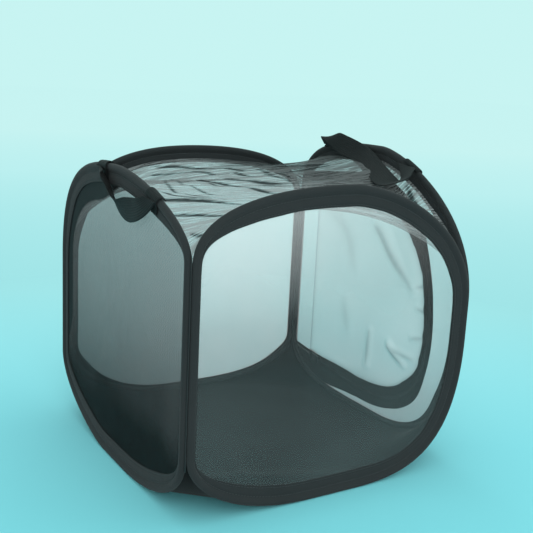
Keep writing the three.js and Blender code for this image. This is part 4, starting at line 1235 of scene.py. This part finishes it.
def strap_solid(name, edges):
    """Webbing from rows of points across it, with rounded edges and closed ends."""
    at = np.linspace(0, 1, edges.shape[1])
    rows = np.stack([[np.interp(STRAP_SHARES, at, row[:, k]) for k in range(3)] for row in edges])
    rows = rows.transpose(0, 2, 1)
    normal = unit(np.cross(np.gradient(rows, axis=0), np.gradient(rows, axis=1)))
    half = STRAP_THICKNESS / 2 * STRAP_SWELL[None, :, None]
    return swept(name, np.concatenate([rows + half * normal, (rows - half * normal)[:, ::-1]], 1), WEBBING)


def strap_rows(name):
    """Rows of points across a handle's strap, in cage points."""
    side, reach, patch_shares, turn_share, route = HANDLES[name]
    hoop = hoops[name]

    def wire_at(along):
        x, z = hoop.flat(hoop.crown_at(along), BULB_RADIUS)
        return np.array([x, 0, z])

    patches = [share * CAGE_SPAN / 2 for share in patch_shares]
    first, second = (wire_at(a) for a in patches)
    length = np.linalg.norm(second - first)
    along = (second - first) / length
    out = np.array([0, side, 0])
    up = np.array([-along[2], 0, along[0]]) * np.sign(along[0])

    def combine(a, o, u):
        return a * along + o * out + u * up

    radial = combine(0, math.sin(math.tau * turn_share), math.cos(math.tau * turn_share))
    clear = PATCH_RADIUS + STRAP_THICKNESS / 2 + STRAP_GAP

    def end_row(patch_at, turned):
        row = []
        for k in (-1, 0, 1):
            under = wire_at(patch_at + turned * k * np.sign(along[0]) * STRAP_WIDTH / 2) - first
            row.append(first + along * (under @ along) + radial * (clear + max(under @ up, 0)))
        return row

    starts, ends = end_row(patches[0], 1), end_row(patches[1], -1)
    places = [first + combine(a * length, o * reach, u * reach) for a, o, u, *_ in route]
    widths = [unit(combine(*r[3:])) for r in route]
    shares = np.linspace(0, 1, STRAP_SAMPLES)
    edges = []
    for k in (-1, 0, 1):
        across = [p + w * k * STRAP_WIDTH / 2 for p, w in zip(places, widths)]
        edges.append(catmull([starts[1 + k], *across, ends[1 + k]], shares))
    rows = np.stack(edges, 1)
    return hoop.lift(rows[..., [0, 2]], rows[..., 1])


def patch(hoop, along, name):
    """The strap's end, sewn down over the wire: up the outside, over the top and down the inside."""
    flat = FLANGE_HALF + STRAP_GAP + STRAP_THICKNESS / 2
    profile = [(PATCH_REACH, -flat), (PATCH_REACH * 0.75, -flat - 0.1), (PATCH_REACH / 2, -flat - CLOTH_GAP)]
    for share in np.linspace(*PATCH_TURNS, PATCH_SAMPLES[0]):
        angle = math.tau * share
        profile.append((BULB_RADIUS - PATCH_RADIUS * math.cos(angle), -PATCH_RADIUS * math.sin(angle)))
    across = np.linspace(-0.5, 0.5, PATCH_SAMPLES[1]) * STRAP_WIDTH
    s = np.array([hoop.crown_at(along + a) for a in across])
    return strap_solid(name, np.stack([hoop.place(s, edge, deep) for edge, deep in profile]))


for name, (_, _, patch_shares, *_) in HANDLES.items():
    loop = strap_solid(f"{name}_handle_strap", strap_rows(name))
    belong(loop, f"{name}_handle", f"{name}_handle")
    if name == "right":
        hoops[name].foot_point(SQUASH_DEEP)
        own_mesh(loop)
    for k, share in enumerate(patch_shares, 1):
        sewn = patch(hoops[name], share * CAGE_SPAN / 2, f"{name}_handle_end_{k}")
        belong(sewn, f"{name}_frame", f"{name}_handle_patch_{k}")


# Metal parts kept from the CAD

for name, thing in frame["nodes"].items():
    kind = name.split("_")[-1]
    made = {"wire": WIRE_STEEL, "ferrule": CRIMP_STEEL, "slider": ENAMEL, "pull": ENAMEL}.get(kind)
    if made:
        thing.data.materials.clear()
        thing.data.materials.append(made)


# Ground, light and camera

VIEW_AZIMUTH, VIEW_ELEVATION, VIEW_ROLL = -31.9, 12.5, 2.9
VIEW_DISTANCE, VIEW_FOCAL, PHOTO_WIDTH = 896.4, 877.6, 533
VIEW_HEIGHT, VIEW_ACROSS, VIEW_UP = 150, 11.7, 30.1
LAMP_TARGET = Vector((0, 0, 0.12))
GROUND_HALF = 12
# The backdrop's colours, from the front of the ground to the horizon
BACKDROP = ((0.0, (0.17, 0.66, 0.72)), (0.13, (0.22, 0.69, 0.75)), (0.25, (0.35, 0.78, 0.80)),
            (0.6, (0.5, 0.87, 0.87)), (1.0, (0.57, 0.9, 0.885)))


def ground():
    """A pale plain floor that runs on to a pale backdrop of the same colour."""
    mesh = bpy.data.meshes.new("ground")
    corners = [(GROUND_HALF * x, GROUND_HALF * y, 0) for x, y in ((-1, -1), (1, -1), (1, 1), (-1, 1))]
    mesh.from_pydata(corners, [], [(0, 1, 2, 3)])
    plane = bpy.data.objects.new("ground", mesh)
    bpy.context.scene.collection.objects.link(plane)
    shader = Shader("pale_floor", {"Roughness": 0.9, "Specular IOR Level": 0.1})
    where = shader.value("Vector", "ShaderNodeMapping", {
        "Vector": shader.rest, "Rotation": (0, 0, math.radians(VIEW_AZIMUTH))}, vector_type="TEXTURE")
    ramp = shader.add("ShaderNodeValToRGB", {"Fac": where.part(1).ramp(-0.6, 4.0)})
    elements = ramp.color_ramp.elements
    elements.remove(elements[1])
    for k, (at, colour) in enumerate(BACKDROP):
        stop = elements[0] if k == 0 else elements.new(at)
        stop.position, stop.color = at, colour + (1,)
    colour = Value(shader, ramp.outputs["Color"])
    seen = shader.seen("Camera", "Glossy", "Transmission")
    far = shader.value("Value", "ShaderNodeVectorMath", {0: shader.rest}, operation="LENGTH").ramp(0.3, 0.75)
    shader.show(seen * far, Value(shader, shader.surface.outputs[0]),
                shader.value(0, "ShaderNodeEmission", {"Color": colour}), "Material Output")
    shader.set({"Base Color": shader.blend(seen, (0.6, 0.66, 0.67, 1), colour)})
    mesh.materials.append(shader.material)


def world():
    """Soft pale light from all round, behind which the camera sees the backdrop's far colour."""
    sky = bpy.data.worlds.new("studio")
    bpy.context.scene.world = sky
    sky.use_nodes = True
    nodes = Nodes(sky.node_tree)
    light = sky.node_tree.nodes["Background"]
    light.inputs["Color"].default_value = (0.97, 1.0, 1.0, 1)
    light.inputs["Strength"].default_value = 0.9
    behind = nodes.value(0, "ShaderNodeBackground", {"Color": (0.575, 0.905, 0.888, 1)})
    nodes.show(nodes.seen("Camera", "Glossy"), Value(nodes, light.outputs[0]), behind, "World Output")


def lamp(name, place, size, power):
    data = bpy.data.lights.new(name, "AREA")
    data.shape = "SQUARE"
    data.size = size
    data.energy = power
    thing = bpy.data.objects.new(name, data)
    thing.location = place
    thing.rotation_euler = (thing.location - LAMP_TARGET).to_track_quat("Z", "Y").to_euler()
    bpy.context.scene.collection.objects.link(thing)


def camera():
    a, e, r = (math.radians(v) for v in (VIEW_AZIMUTH, VIEW_ELEVATION, VIEW_ROLL))
    back = Vector((math.sin(a) * math.cos(e), -math.cos(a) * math.cos(e), math.sin(e)))
    level = Vector((math.cos(a), math.sin(a), 0))
    rise = back.cross(level)
    across = math.cos(r) * level + math.sin(r) * rise
    up = math.cos(r) * rise - math.sin(r) * level
    target = Vector((0, 0, VIEW_HEIGHT)) + across * VIEW_ACROSS + up * VIEW_UP
    eye = (target + back * VIEW_DISTANCE) * MM + Vector(MIDDLE)
    data = bpy.data.cameras.new("photo_camera")
    data.sensor_width = 36
    data.lens = VIEW_FOCAL / PHOTO_WIDTH * data.sensor_width
    data.clip_start = 0.01
    thing = bpy.data.objects.new("photo_camera", data)
    thing.matrix_world = Matrix.Translation(eye) @ Matrix((across, up, back)).transposed().to_4x4()
    bpy.context.scene.collection.objects.link(thing)
    bpy.context.scene.camera = thing


ground()
world()
lamp("key", (-0.9, -1.8, 1.6), 1.4, 14)
lamp("fill", (1.8, -0.8, 1.2), 1.4, 5)
lamp("back", (0.3, 1.8, 1.6), 1.4, 6)
lamp("low", (-0.55, -2.2, 0.45), 1.0, 13)
camera()
bpy.context.scene.view_settings.view_transform = "Standard"
